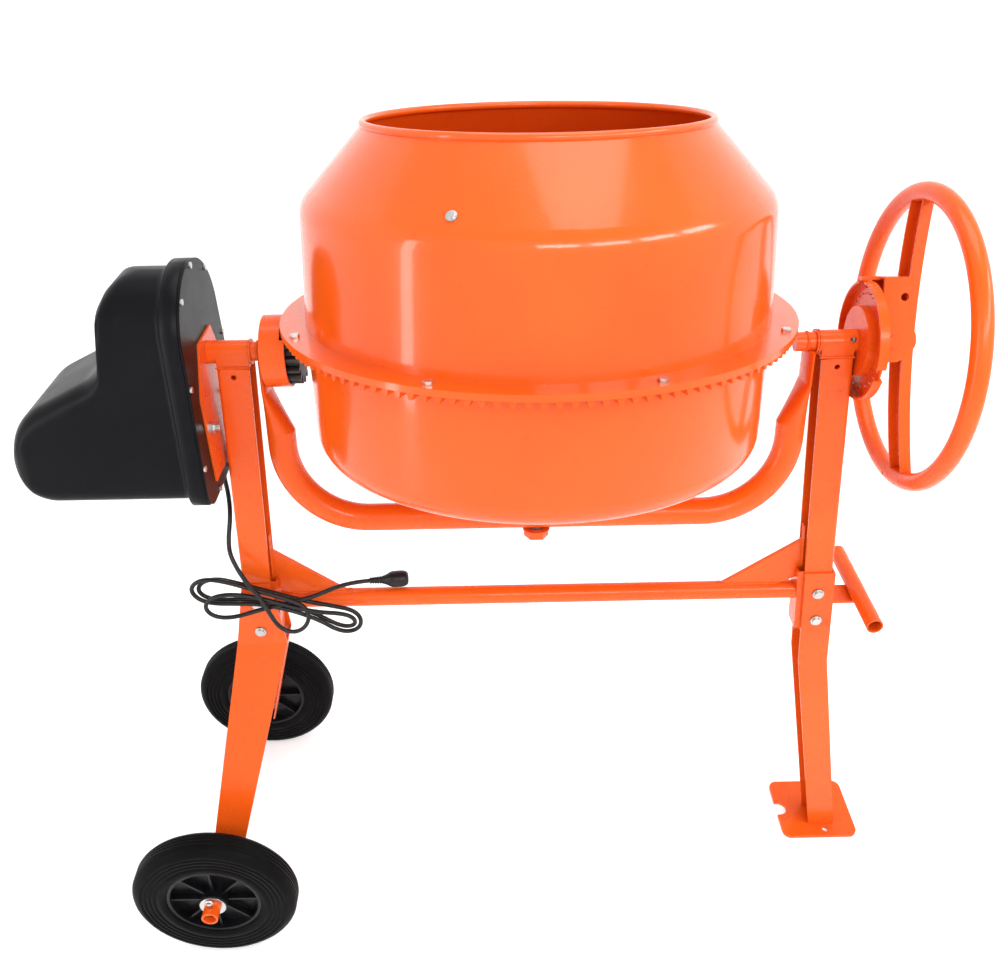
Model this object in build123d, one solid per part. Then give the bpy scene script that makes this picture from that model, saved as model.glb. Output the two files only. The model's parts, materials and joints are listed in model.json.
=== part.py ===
"""A tilting-drum concrete mixer with a belt and crown-gear drive, in millimetres.

The model is laid out about the drum: X runs along the tilt axis towards the handwheel, Y away
from the side that the wheels' leg fronts face, Z up from the floor. Everything that tilts is
drawn upright about the tilt axis (the cradle frame) and then leant back. At the end all nodes
move together, so that the origin is the bottom centre of the object's box.
"""
from build123d import *
import math
import os

# ---- overall ---------------------------------------------------------------------------------
TILT_HEIGHT = 940          # tilt axis above the floor
LEAN = 7.5                 # how far the drum leans back at rest, degrees
FIT_GAP = 0.05             # radial clearance of a running fit
FREE_GAP = 0.5             # clearance between parts that pass each other
HOLE_GAP = 0.25            # radial clearance of a bolt in its hole

# ---- drum, in the cradle frame: radii, and heights above the tilt axis -------------------------
DRUM_WALL = 2.5
DRUM_R = 289               # outside, at the flange
FLANGE_R = 320
FLANGE_SHEET = 2
SKIRT = 8                  # depth of the turned-down edge of the flange
SEAL_SHEET = 1.5
LOWER_R = 287              # outside, above the bottom corner
LOWER_W = -90
BASE_W = -120              # underside of the drum's floor
BASE_CORNER = 30
SHOULDER_R = 283
SHOULDER_W = 192
SHOULDER_CORNER = 34
MOUTH_R = 203.5            # centre of the rolled bead
MOUTH_W = 277
BEAD_R = 4.5

# ---- crown gear and pinion ---------------------------------------------------------------------
RING_TEETH = 128
PINION_TEETH = 16
TOOTH_IN_R = 300.5
TOOTH_OUT_R = 315.5
PRESSURE_ANGLE = 20
BACKLASH = 0.8             # taken off the thickness of every tooth
TOOTH_MEAN_R = (TOOTH_IN_R + TOOTH_OUT_R) / 2
MODULE = 2 * TOOTH_MEAN_R / RING_TEETH
PITCH = math.pi * MODULE
PINION_R = MODULE * PINION_TEETH / 2
ADDENDUM = 0.8 * MODULE
TOOTH_GAP = 0.25 * MODULE
RING_TIP_W = PINION_R - ADDENDUM
RING_ROOT_W = PINION_R + ADDENDUM + TOOTH_GAP
RING_WEB = 2.5
RING_BAND_R = TOOTH_IN_R - 2.5
LOWER_FLANGE_W = RING_ROOT_W + RING_WEB            # underside of the lower drum's flange
SEAL_W = LOWER_FLANGE_W + FLANGE_SHEET
UPPER_FLANGE_W = SEAL_W + SEAL_SHEET
FLANGE_TOP_W = UPPER_FLANGE_W + FLANGE_SHEET
PINION_X0 = -330
PINION_X1 = -301

# ---- drum bearing and yoke ---------------------------------------------------------------------
SHAFT_R = 10
BEARING_R = 23.5
BEARING_T = 14
HOUSING_R = 31
HOUSING_TOP_W = -140
YOKE_R = 19
YOKE_WALL = 2.5
YOKE_X = 341               # centre line of the yoke's arms
YOKE_W = -243              # centre line of the yoke's bottom run
YOKE_BEND = 110
ARM_W = -110               # where the round arm starts to flatten
PINCH_X = 353.5
PINCH_W = -52
PINCH_HALF_X = 5
PINCH_HALF_Y = 24

# ---- trunnions ---------------------------------------------------------------------------------
TRUNNION_R = 12.5
TRUNNION_BORE = 10
SLEEVE_WALL = 2.5
SLEEVE_R = TRUNNION_R + SLEEVE_WALL
SLEEVE_LEFT = (-423, -369)
SLEEVE_RIGHT = (364.5, 412)
TRUNNION_LEFT = (-421.5, -336)
TRUNNION_RIGHT = (334, 486)
DRIVE_R = 7
BUSH_LENGTH = 20
WASHER_R = TRUNNION_R + 4

# ---- stands ------------------------------------------------------------------------------------
STAND_X = {-1: 390, 1: 387}                        # centre of each stand at its top
STAND_TOP = TILT_HEIGHT - 16
STAND_END_Z = 462          # underside of the stands
SPLAY = {-1: 3.43, 1: 5.43}                        # degrees outwards: left, right
STAND_W = 42               # along X
STAND_D = 38               # along Y
STAND_WALL = 3
STAND_LENGTH = STAND_TOP - STAND_END_Z
BOLT_R = 5
BOLT_DROPS = (STAND_LENGTH - 74, STAND_LENGTH - 22)    # bolts below the stand's top
SADDLE_D = 2 * SLEEVE_R
BRACKET_DROPS = (STAND_LENGTH - 113, STAND_LENGTH - 3)
BRACKET_OUT = 9            # how far the cross tube's bracket stands out of the channel
CROSS_Z = 530
CROSS_R = 14
CROSS_WALL = 2.5
GUSSET_T = 6
GUSSET_ON_TUBE = (276, 364)
GUSSET_ON_STAND = (578, 648)

# ---- foot --------------------------------------------------------------------------------------
LEG_WALL = 3
LEG_BEND_Z = 400
FOOT_X = 515
FOOT_BOX = (445, 575, -48, 72)
FOOT_T = 6
FOOT_CORNER = 14
FOOT_NOTCH = 14
ANCHOR = (521, -34)
ANCHOR_R = 5.5
HANDLE_R = 12
HANDLE_WALL = 2
HANDLE_X = 488
HANDLE_HALF = 90

# ---- wheels ------------------------------------------------------------------------------------
WHEEL_R = 125
TYRE_IN_R = 72
TYRE_W = 44
AXLE_X = -500
AXLE_R = 12.5
AXLE_WALL = 3
WHEEL_FACE = 239           # outer face of each wheel from the middle
HUB_LENGTH = 45
HUB_R = 21
HUB_WEB = 5
HUB_RIM = 5
SPOKES = 8
FOLD_Z = 460
FOLD_WIDTH = 76
LEG_FOOT_WIDTH = 42
LEG_FOOT_Y = 190
LEG_FOOT_Z = 106
LEG_DEPTH = (20, 30)

# ---- handwheel and tilt lock, in the wheel frame -----------------------------------------------
BAR_LEAN = 11.5            # the handwheel's bar, further back than the drum
RIM_X = 485
RIM_R = 184.4
RIM_TUBE = 12
RIM_WALL = 2
BAR_WIDTH = 2 * (TRUNNION_R + 6.5)
BAR_DEPTH = 14
BAR_WALL = 2.5
BAR_BOW = 12
DISC_X = (415, 427)        # rim and face of the dish
DISC_HUB_X = 412
DISC_R = 76
DISC_SHEET = 3
DISC_BOSS = 45
PIN_X = 452
PIN_R = 5
BRACKET_X = (436, 470)
BRACKET_WALL = 3
BRACKET_BOTTOM = -26
TILT_RANGE = 120           # how far the drum tips each way; the disc has a notch at each end
TONGUE_GAP = 1
TONGUE_W = 16
TONGUE_T = 4

# ---- drive housing -----------------------------------------------------------------------------
PLATE_X = (-426, -423)     # steel mounting plate
BACK_X = (-429, -426)      # plastic back plate
COVER_WALL = 3
COVER_RIM = 9
COVER_RIM_X = -452
HUMP_Z = TILT_HEIGHT + 34
HUMP_R = 78
HOUSING_LOW_HALF = 95
HOUSING_CORNER = 20
HOUSING_LEFT = -685
MOTOR_Z = TILT_HEIGHT - 100
HOUSING_BOTTOM = MOTOR_Z - 72
MOTOR_R = 55
MOTOR_X = (-620, -470)
MOTOR_SHAFT_R = 6
SHELF_HALF = 28
CAPACITOR_X = (-532, -462)
ROTOR_R = 32
BELT_X = (-451.5, -439.5)
BELT_T = 2.5
BIG_PULLEY_R = 70
SMALL_PULLEY_R = 10
PULLEY_LIP = 2
BUTTON_R = 9
BUTTON_TRAVEL = 3
BUTTON_Z = MOTOR_Z + 16

# ---- cord --------------------------------------------------------------------------------------
CORD_R = 3.25
GLAND_X = -446
GLAND_Y = 40
CORD_EXIT_Z = 750
LEAD = [                   # from the gland down past the left stand and up into the hank
    (-446, 40, 750), (-446, 38, 728), (-440, 24, 706), (-436, 2, 683), (-440, -20, 650),
    (-435, -35, 633), (-416, -48, 598), (-398, -51, 572), (-387, -51, 534), (-377, -51, 515),
    (-361, -51, 506), (-343, -51, 513), (-333, -48, 531), (-331, -41, 545),
]
TAIL = [                   # from the hank along the cross tube to the plug
    (-352, -38, 553), (-322, -32, 560), (-296, -18, 564), (-270, -2, 560), (-247, 3, 558.5),
]
HANK_OUTLINE = [(-503, 587), (-472, 606), (-437, 597), (-399, 578), (-345, 560), (-282, 531),
                (-275, 512), (-291, 503), (-345, 537), (-401, 552), (-458, 535), (-482, 550)]
HANK_Y = (-46.5, -30)
PLUG_END = (-189, 7, 558.5)
PLUG_R = 12.5

parts = {}


# ---- helpers -----------------------------------------------------------------------------------
def rod(axis, radius, start, end, across=(0, 0)):
    """A cylinder along an axis; across holds its two other coordinates in X, Y, Z order."""
    turn = {"X": Rot(0, 90, 0), "Y": Rot(-90, 0, 0), "Z": Rot(0, 0, 0)}[axis]
    a, b = across
    place = {"X": Pos(start, a, b), "Y": Pos(a, start, b), "Z": Pos(a, b, start)}[axis]
    low = (Align.CENTER, Align.CENTER, Align.MIN)
    return place * turn * Cylinder(radius, end - start, align=low)


def tube(axis, outer, inner, start, end, across=(0, 0)):
    """A round tube along an axis."""
    return rod(axis, outer, start, end, across) - rod(axis, inner, start - 1, end + 1, across)


def block(x, y, z):
    """A box from three (low, high) pairs."""
    size = Box(x[1] - x[0], y[1] - y[0], z[1] - z[0], align=(Align.MIN,) * 3)
    return Pos(x[0], y[0], z[0]) * size


def plane_face(axis, points):
    """A polygon in the plane across an axis: (y, z), (x, z) or (x, y) points."""
    lift = {"X": lambda p: (0, p[0], p[1]), "Y": lambda p: (p[0], 0, p[1]),
            "Z": lambda p: (p[0], p[1], 0)}[axis]
    return make_face(Polyline([lift(p) for p in points], close=True))


def prism(axis, points, start, end):
    """A polygon across an axis, pushed from start to end along it."""
    way = {"X": Vector(1, 0, 0), "Y": Vector(0, 1, 0), "Z": Vector(0, 0, 1)}[axis]
    solid = extrude(plane_face(axis, points), end - start, dir=way)
    return Pos(way * start) * solid


def turned(points, rounds=None):
    """A closed (radius, height) outline turned about Z; rounds gives corner radii by index."""
    face = plane_face("Y", points)
    for index, radius in (rounds or {}).items():
        x, z = points[index]
        face = fillet(face.vertices().sort_by_distance((x, 0, z))[0], radius)
    return revolve(face, Axis.Z)


def spun(shape, count, start=0):
    """Copies of a shape spread evenly about Z."""
    return [Rot(0, 0, start + 360 * i / count) * shape for i in range(count)]


def hexagon(axis, across_flats, start, end, across):
    """A hexagonal prism along an axis."""
    radius = across_flats / math.sqrt(3)
    points = [(across[0] + radius * math.cos(math.radians(60 * i)),
               across[1] + radius * math.sin(math.radians(60 * i))) for i in range(6)]
    return prism(axis, points, start, end)


def group(shapes):
    """Separate solids that share one node."""
    return Compound(children=[solid for shape in shapes for solid in shape.solids()])


def channel(width, depth, wall, length, corner=5):
    """A folded U-channel hanging from the origin, open towards +X."""
    top = (Align.CENTER, Align.CENTER, Align.MAX)
    outer = Box(width, depth, length, align=top)
    outer = fillet(outer.edges().filter_by(Axis.Z).group_by(Axis.X)[0], corner)
    inner = Pos(wall, 0, 0) * Box(width, depth - 2 * wall, length, align=top)
    inner = fillet(inner.edges().filter_by(Axis.Z).group_by(Axis.X)[0], corner - wall)
    return outer - inner


CRADLE = Pos(0, 0, TILT_HEIGHT) * Rot(-LEAN, 0, 0)
WHEEL = CRADLE * Rot(-BAR_LEAN, 0, 0)


def stand_frame(side):
    """The frame of a stand: origin at its top, -Z down along it, +X towards the drum."""
    turn = Rot(0, 0, 0) if side < 0 else Rot(0, 0, 180)
    return Pos(side * STAND_X[side], 0, STAND_TOP) * Rot(0, -side * SPLAY[side], 0) * turn


def stand_centre(side, z):
    """The stand's centre line at a height."""
    return side * (STAND_X[side] + (STAND_TOP - z) * math.tan(math.radians(SPLAY[side])))


def half_width(side):
    """Half the stand's width measured level."""
    return STAND_W / 2 / math.cos(math.radians(SPLAY[side]))


def in_stand(side, shape):
    """Puts a shape drawn for the left stand into either stand, front still to the front."""
    flip = Rot(0, 0, 0) if side < 0 else Rot(0, 0, 180)
    return stand_frame(side) * flip * shape


def bolt_holes(side, radius):
    """Rods through the bolt places of one stand."""
    return [in_stand(side, rod("Y", radius, -60, 60, (0, -drop))) for drop in BOLT_DROPS]


# ---- frame -------------------------------------------------------------------------------------
def make_stand(side, sleeve):
    """One U-channel stand and the sleeve with its saddle on top."""
    body = stand_frame(side) * channel(STAND_W, STAND_D, STAND_WALL, STAND_LENGTH)
    for hole in bolt_holes(side, BOLT_R + HOLE_GAP):
        body -= hole
    body -= in_stand(side, rod("Y", 3.5, -60, 0, (0, -12)))
    centre = side * STAND_X[side]
    saddle = block((max(centre - STAND_W / 2, sleeve[0]), min(centre + STAND_W / 2, sleeve[1])),
                   (-SADDLE_D / 2, SADDLE_D / 2), (STAND_TOP, TILT_HEIGHT))
    head = rod("X", SLEEVE_R, *sleeve, (0, TILT_HEIGHT)) + saddle
    head -= rod("X", TRUNNION_R + FIT_GAP, sleeve[0] - 20, sleeve[1] + 20, (0, TILT_HEIGHT))
    head -= block((-600, 600), (-60, 60), (STAND_TOP - 5, STAND_TOP + 0.01))
    return body - block((-600, 600), (-60, 60), (STAND_TOP, STAND_TOP + 10)), head


def make_cross_tube():
    """The cross tube with the folded bracket welded on each end."""
    webs = []
    body = None
    for side in (-1, 1):
        high, low = BRACKET_DROPS
        mouth = STAND_W / 2
        outer = block((-14, mouth + BRACKET_OUT),
                      (-STAND_D / 2 + STAND_WALL, STAND_D / 2 - STAND_WALL), (-low, -high))
        inner = block((-15, mouth + BRACKET_OUT - STAND_WALL),
                      (-STAND_D / 2 + 2 * STAND_WALL, STAND_D / 2 - 2 * STAND_WALL),
                      (-low - 1, -high + 1))
        bracket = stand_frame(side) * (outer - inner)
        for hole in bolt_holes(side, BOLT_R + HOLE_GAP):
            bracket -= hole
        webs.append(stand_centre(side, CROSS_Z) - side * (mouth + BRACKET_OUT - STAND_WALL / 2))
        body = bracket if body is None else body + bracket
    bar = rod("X", CROSS_R, webs[0], webs[1], (0, CROSS_Z))
    return body + bar - rod("X", CROSS_R - CROSS_WALL, webs[0] - 9, webs[1] + 9, (0, CROSS_Z))


def make_gussets(cross_tube, stands):
    """The flat braces between each stand and the cross tube."""
    braces = []
    for side in (-1, 1):
        inside = STAND_W / 2 - STAND_WALL
        foot = [(side * x, CROSS_Z + CROSS_R - 4) for x in GUSSET_ON_TUBE]
        top = [(stand_centre(side, z) + side * (inside - 6), z) for z in GUSSET_ON_STAND]
        brace = prism("Y", [foot[0], foot[1], top[0], top[1]], -GUSSET_T / 2, GUSSET_T / 2)
        brace -= rod("X", CROSS_R, -600, 600, (0, CROSS_Z))
        braces.append(brace - cross_tube - stands[side])
    return group(braces)


def make_wheel_leg(side):
    """A tapered pressed leg: side -1 is the front one, 1 the rear one."""
    face = side * (STAND_D / 2 + LEG_WALL)
    centre = stand_centre(-1, FOLD_Z)
    tab_top = stand_centre(-1, 575)
    half = STAND_W / 2
    tab = prism("Y", [(tab_top - half, 575), (tab_top + half, 575),
                      (centre + FOLD_WIDTH / 2, FOLD_Z), (centre - FOLD_WIDTH / 2, FOLD_Z)],
                *sorted((face - side * LEG_WALL, face)))
    foot_face = side * LEG_FOOT_Y

    def section(z, width, x, y_face, depth):
        y = sorted((y_face, y_face - side * depth))
        return Pos(x, sum(y) / 2, z) * Rectangle(width, y[1] - y[0])

    outer = loft([section(LEG_FOOT_Z, LEG_FOOT_WIDTH, AXLE_X, foot_face, LEG_DEPTH[1]),
                  section(FOLD_Z, FOLD_WIDTH, centre, face, LEG_DEPTH[0])], ruled=True)
    inside = -side * LEG_WALL
    inner = loft([section(LEG_FOOT_Z - 0.01, LEG_FOOT_WIDTH - 2 * LEG_WALL, AXLE_X,
                          foot_face + inside, LEG_DEPTH[1]),
                  section(FOLD_Z + 0.01, FOLD_WIDTH - 2 * LEG_WALL, centre, face + inside,
                          LEG_DEPTH[0])], ruled=True)
    leg = tab + (outer - inner)
    for hole in bolt_holes(-1, BOLT_R + HOLE_GAP):
        leg -= hole
    return leg - rod("Y", AXLE_R, *sorted((0, side * 400)), (AXLE_X, WHEEL_R))


def make_foot_leg():
    """The right leg: a U-channel round the outside of the stand, bent towards the foot."""
    top_z = 575
    half = half_width(1)
    wall = LEG_WALL

    def line(offset):
        bend = stand_centre(1, LEG_BEND_Z)
        return [(stand_centre(1, top_z) + offset, top_z), (bend + offset, LEG_BEND_Z),
                (FOOT_X + offset, FOOT_T)]

    left, right, face = line(-half), line(half), line(half + wall)
    depth = STAND_D / 2 + wall
    cheeks = prism("Y", left + face[::-1], -depth, depth)
    hollow = prism("Y", line(-half - 1) + right[::-1], -depth + wall, depth - wall)
    leg = cheeks - hollow
    for hole in bolt_holes(1, BOLT_R + HOLE_GAP):
        leg -= hole
    return leg


def make_foot_plate():
    """The flat plate under the right leg, with a notch and an anchor hole."""
    x0, x1, y0, y1 = FOOT_BOX
    plate = block((x0, x1), (y0, y1), (0, FOOT_T))
    plate = fillet(plate.edges().filter_by(Axis.Z), FOOT_CORNER)
    plate -= rod("Z", FOOT_NOTCH, -1, FOOT_T + 1, (x0 + 4, (y0 + y1) / 2))
    return plate - rod("Z", ANCHOR_R, -1, FOOT_T + 1, ANCHOR)


def make_lift_handle(leg):
    """The tube that lifts the foot end, on a plate welded to the leg."""
    bar = tube("Y", HANDLE_R, HANDLE_R - HANDLE_WALL, -HANDLE_HALF, HANDLE_HALF,
               (HANDLE_X, CROSS_Z))
    shelf = block((stand_centre(1, CROSS_Z) + half_width(1) + LEG_WALL / 2, HANDLE_X),
                  (-STAND_D / 2, STAND_D / 2),
                  (CROSS_Z - HANDLE_R - 3, CROSS_Z - HANDLE_R + 2))
    shelf -= rod("Y", HANDLE_R - HANDLE_WALL / 2, -60, 60, (HANDLE_X, CROSS_Z))
    return bar + (shelf - leg)


def bolt(side, drop, grip):
    """A domed bolt through one stand, with its nut."""
    head = rod("Y", 8.5, -grip - 3, -grip, (0, -drop))
    head += rod("Y", 6, -grip - 6, -grip - 3, (0, -drop))
    shank = rod("Y", BOLT_R, -grip, grip + 12, (0, -drop))
    nut = hexagon("Y", 16, grip, grip + 8, (0, -drop)) - rod("Y", BOLT_R, 0, 90, (0, -drop))
    return [in_stand(side, head + shank), in_stand(side, nut)]


def make_frame_bolts():
    """Through-bolts of both stands and the pair that carries the mounting plate."""
    solids = []
    for side in (-1, 1):
        for drop in BOLT_DROPS:
            solids += bolt(side, drop, STAND_D / 2 + LEG_WALL)
    for y, z in PLATE_BOLTS:
        solids.append(rod("X", 4, BACK_X[0], PLATE_X[1] + 14, (y, z))
                      + hexagon("X", 13, BACK_X[0] - 5, BACK_X[0], (y, z)))
        nut = hexagon("X", 13, PLATE_X[1], PLATE_X[1] + 7, (y, z))
        solids.append(nut - rod("X", 4, -500, -300, (y, z)))
    return group(solids)


# ---- wheels ------------------------------------------------------------------------------------
def make_axle():
    """The tube axle, drilled for its cotter pins."""
    end = WHEEL_FACE + 24
    axle = tube("Y", AXLE_R, AXLE_R - AXLE_WALL, -end, end, (AXLE_X, WHEEL_R))
    for side in (-1, 1):
        axle -= rod("Z", 2.6, WHEEL_R - 30, WHEEL_R + 30, (AXLE_X, side * (WHEEL_FACE + 12)))
    return axle


def make_axle_keepers():
    """Washers each side of the wheels, and the cotter pins."""
    solids = []
    for side in (-1, 1):
        for near, far in ((WHEEL_FACE - HUB_LENGTH - 3.5, WHEEL_FACE - HUB_LENGTH - FREE_GAP),
                          (WHEEL_FACE + FREE_GAP, WHEEL_FACE + 3)):
            low, high = sorted((side * near, side * far))
            solids.append(tube("Y", 20, AXLE_R, low, high, (AXLE_X, WHEEL_R)))
        y = side * (WHEEL_FACE + 12)
        pin = rod("Z", 2, WHEEL_R - 20, WHEEL_R + 18, (AXLE_X, y))
        eye = Pos(AXLE_X, y, WHEEL_R + 22) * Rot(90, 0, 0) * Torus(4.5, 2)
        solids.append(pin + eye)
    return group(solids)


def make_hub():
    """A wheel's plastic centre about Z, with its outer face at the top."""
    half = TYRE_W / 2 - 4
    mid = -HUB_LENGTH / 2
    hub = tube("Z", HUB_R, AXLE_R + FIT_GAP, -HUB_LENGTH, 0)
    hub += tube("Z", TYRE_IN_R, TYRE_IN_R - HUB_RIM, mid - half, mid + half)
    hub += tube("Z", TYRE_IN_R - 1, HUB_R - 1, mid - HUB_WEB / 2, mid + HUB_WEB / 2)
    rib = block((HUB_R - 1, TYRE_IN_R - 3), (-1.75, 1.75), (mid - 13, mid + 13))
    for one in spun(rib, SPOKES):
        hub += one
    return hub


def make_tyre():
    """A wheel's solid rubber tyre about Z."""
    half = TYRE_W / 2
    mid = -HUB_LENGTH / 2
    outline = [(TYRE_IN_R, mid - half + 3), (TYRE_IN_R + 12, mid - half), (WHEEL_R - 14, mid - half),
               (WHEEL_R - 2, mid - half + 9), (WHEEL_R, mid - 10), (WHEEL_R, mid + 10),
               (WHEEL_R - 2, mid + half - 9), (WHEEL_R - 14, mid + half), (TYRE_IN_R + 12, mid + half),
               (TYRE_IN_R, mid + half - 3)]
    return turned(outline)


def wheel_place(side):
    """The frame of a wheel: +Z out along the axle from its outer face."""
    turn = Rot(90, 0, 0) if side < 0 else Rot(-90, 0, 0)
    return Pos(AXLE_X, side * WHEEL_FACE, WHEEL_R) * turn


# ---- tilt lock and handwheel ---------------------------------------------------------------------
def make_lock_disc():
    """The dished disc on the right sleeve, with the notch that takes the lock's tongue."""
    x0, x1 = DISC_X
    sheet = DISC_SHEET
    hub = DISC_HUB_X
    outline = [(TRUNNION_R + FREE_GAP, hub), (DISC_BOSS, hub), (DISC_BOSS, x1 - sheet),
               (DISC_R - sheet, x1 - sheet), (DISC_R - sheet, x0), (DISC_R, x0), (DISC_R, x1),
               (DISC_BOSS - sheet, x1), (DISC_BOSS - sheet, hub + sheet),
               (TRUNNION_R + FREE_GAP, hub + sheet)]
    disc = Rot(0, 90, 0) * turned(outline)
    notch = block((x0 - 5, x1 + 5), (-TONGUE_W / 2 - 1, TONGUE_W / 2 + 1), (DISC_R - 9, DISC_R + 9))
    for stop in (0, -TILT_RANGE, TILT_RANGE):
        disc -= Rot(stop, 0, 0) * notch
    return disc


def make_wheel_bar():
    """The bowed channel across the handwheel, open towards the stand."""
    reach = RIM_R - RIM_TUBE / 2

    def band(front, back):
        outer = ThreePointArc((RIM_X + front, 0, reach), (RIM_X - BAR_BOW + front, 0, 0),
                              (RIM_X + front, 0, -reach))
        inner = ThreePointArc((RIM_X + back, 0, -reach), (RIM_X - BAR_BOW + back, 0, 0),
                              (RIM_X + back, 0, reach))
        sides = [Line(outer @ 1, inner @ 0), Line(inner @ 1, outer @ 0)]
        return make_face([outer, inner] + sides)

    def wide(face, width):
        return Pos(0, -width / 2, 0) * extrude(face, width, dir=Vector(0, 1, 0))

    half = BAR_DEPTH / 2
    bar = wide(band(half, -half), BAR_WIDTH)
    bar -= wide(band(half - BAR_WALL, -half - 5), BAR_WIDTH - 2 * BAR_WALL)
    bar -= rod("X", TRUNNION_R + 4, 400, 520)
    ring = Pos(RIM_X, 0, 0) * Rot(0, 90, 0) * Torus(RIM_R, RIM_TUBE)
    return bar - ring


def make_lock_bracket():
    """The strap behind the disc: two cheeks, a bridge and the tongue."""
    x0, x1 = BRACKET_X
    top = DISC_R + TONGUE_GAP + TONGUE_T
    inner = BAR_WIDTH / 2
    outer = inner + BRACKET_WALL
    plate = block((x0, x1), (-outer, outer), (BRACKET_BOTTOM, top))
    plate = fillet(plate.edges().filter_by(Axis.Y).group_by(Axis.Z)[0], 14)
    plate -= block((x0 - 1, x1 + 1), (-inner, inner), (BRACKET_BOTTOM - 1, top - BRACKET_WALL))
    plate += block((DISC_X[0] - 2, x0 + 1), (-TONGUE_W / 2, TONGUE_W / 2), (top - TONGUE_T, top))
    plate -= rod("Y", PIN_R + FIT_GAP, -60, 60, (PIN_X, 0))
    return plate - rod("Y", 5, -60, 0, (PIN_X + 11, 56))


def make_wheel_pin():
    """The cross pin through the trunnion on which the handwheel rocks."""
    reach = BAR_WIDTH / 2 + BRACKET_WALL
    pin = rod("Y", PIN_R, -reach - 1, reach + 16, (PIN_X, 0))
    return pin + rod("Y", 8, -reach - 4, -reach - FREE_GAP, (PIN_X, 0))


def make_lock_spring():
    """The torsion spring round the pin's rear end, with a leg up to the bracket."""
    start = BAR_WIDTH / 2 + BRACKET_WALL + 2
    radius = PIN_R + 3
    coil = tube("Y", radius, PIN_R, start, start + 9, (PIN_X, 0))
    leg = rod("Z", 1, PIN_R, 40, (PIN_X + 1, start + 1.2))
    return coil + (leg - rod("Y", PIN_R, 0, 60, (PIN_X, 0)))


# ---- yoke ----------------------------------------------------------------------------------------
def make_yoke():
    """The U-shaped tube under the drum, pinched flat at the top of each arm."""
    route = FilletPolyline((-YOKE_X, 0, ARM_W), (-YOKE_X, 0, YOKE_W), (YOKE_X, 0, YOKE_W),
                           (YOKE_X, 0, ARM_W), radius=YOKE_BEND)
    start = Plane(origin=(-YOKE_X, 0, ARM_W), z_dir=(0, 0, -1))
    yoke = sweep(start * Circle(YOKE_R), path=route)
    yoke -= sweep(start * Circle(YOKE_R - YOKE_WALL), path=route)
    for side in (-1, 1):
        round_end = Pos(side * YOKE_X, 0, ARM_W) * Circle(YOKE_R)
        flat_end = Pos(side * PINCH_X, 0, PINCH_W) * Ellipse(PINCH_HALF_X, PINCH_HALF_Y)
        yoke += loft([round_end, flat_end])
        yoke += extrude(flat_end, -PINCH_W - TRUNNION_R + 3, dir=Vector(0, 0, 1))
    yoke -= rod("X", TRUNNION_R, -500, 500)
    return yoke - rod("Z", SHAFT_R + FREE_GAP, YOKE_W - 30, YOKE_W + 30)


def make_bearing_housing():
    """The drum's bearing housing, coped on to the yoke."""
    body = rod("Z", HOUSING_R, YOKE_W, HOUSING_TOP_W)
    body -= rod("Z", BEARING_R, bearing_lows()[1], HOUSING_TOP_W + 1)
    body -= rod("Z", SHAFT_R + 3, YOKE_W - 1, HOUSING_TOP_W)
    return body - rod("X", YOKE_R, -90, 90, (0, YOKE_W))


def bearing_lows():
    """The undersides of the upper and lower bearing."""
    return (HOUSING_TOP_W - 6 - BEARING_T, YOKE_W + YOKE_R + 3)


def make_pinion_guard():
    """The bent plate on the trunnion that shields the pinion."""
    inner = PINION_R + ADDENDUM + 2
    back = -PINCH_X + PINCH_HALF_X + FREE_GAP
    clear = -FLANGE_R - 2
    skin = rod("X", inner + 2, back, PINION_X0 + 14) - rod("X", inner, back + 2, 0)
    wedge = prism("X", [(0, 0), (-90, 60), (-90, -90), (16, -90)], back - 1, -300)
    wedge += prism("X", [(12, 0), (12, 90), (-90, 90), (-90, -90)], back - 1, clear)
    return (skin & wedge) - rod("X", TRUNNION_R, -400, 0)


# ---- drum ----------------------------------------------------------------------------------------
def lower_shell(inset):
    """The lower drum's outer or inner solid."""
    outline = [(0, BASE_W + inset), (LOWER_R - inset, BASE_W + inset),
               (LOWER_R - inset, LOWER_W), (DRUM_R - inset, LOWER_FLANGE_W + FLANGE_SHEET),
               (0, LOWER_FLANGE_W + FLANGE_SHEET)]
    return turned(outline, {1: BASE_CORNER - inset})


def make_lower_drum():
    """The pressed lower drum with its flange."""
    shell = lower_shell(0) - lower_shell(DRUM_WALL)
    flange = tube("Z", TOOTH_OUT_R, DRUM_R - DRUM_WALL, LOWER_FLANGE_W, SEAL_W)
    shell = shell + flange - rod("Z", SHAFT_R, BASE_W - 5, BASE_W + 9)
    for hole in flange_bolt_rods(3 + HOLE_GAP):
        shell -= hole
    for turn in BLADE_ANGLES:
        shell -= blade_frames(turn)[1] * BLADE_HOLE
    return shell


def upper_shell(inset):
    """The upper drum's outer or inner solid, up to the mouth."""
    outline = [(0, UPPER_FLANGE_W), (DRUM_R - inset, UPPER_FLANGE_W),
               (SHOULDER_R - inset, SHOULDER_W), (MOUTH_R - inset / 2, MOUTH_W), (0, MOUTH_W)]
    return turned(outline, {2: SHOULDER_CORNER - inset})


def make_upper_drum():
    """The upper drum with its skirted flange and the rolled bead at the mouth."""
    shell = upper_shell(0) - upper_shell(DRUM_WALL)
    shell -= rod("Z", MOUTH_R - DRUM_WALL, SHOULDER_W + 40, MOUTH_W + 5)
    top = tube("Z", FLANGE_R, DRUM_R - DRUM_WALL, UPPER_FLANGE_W, FLANGE_TOP_W)
    skirt = tube("Z", FLANGE_R, FLANGE_R - FLANGE_SHEET, FLANGE_TOP_W - SKIRT, FLANGE_TOP_W)
    shell = shell + top + skirt + Pos(0, 0, MOUTH_W) * Torus(MOUTH_R, BEAD_R)
    for hole in flange_bolt_rods(3 + HOLE_GAP):
        shell -= hole
    for turn in BLADE_ANGLES:
        shell -= blade_frames(turn)[0] * BLADE_HOLE
    return shell


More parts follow.
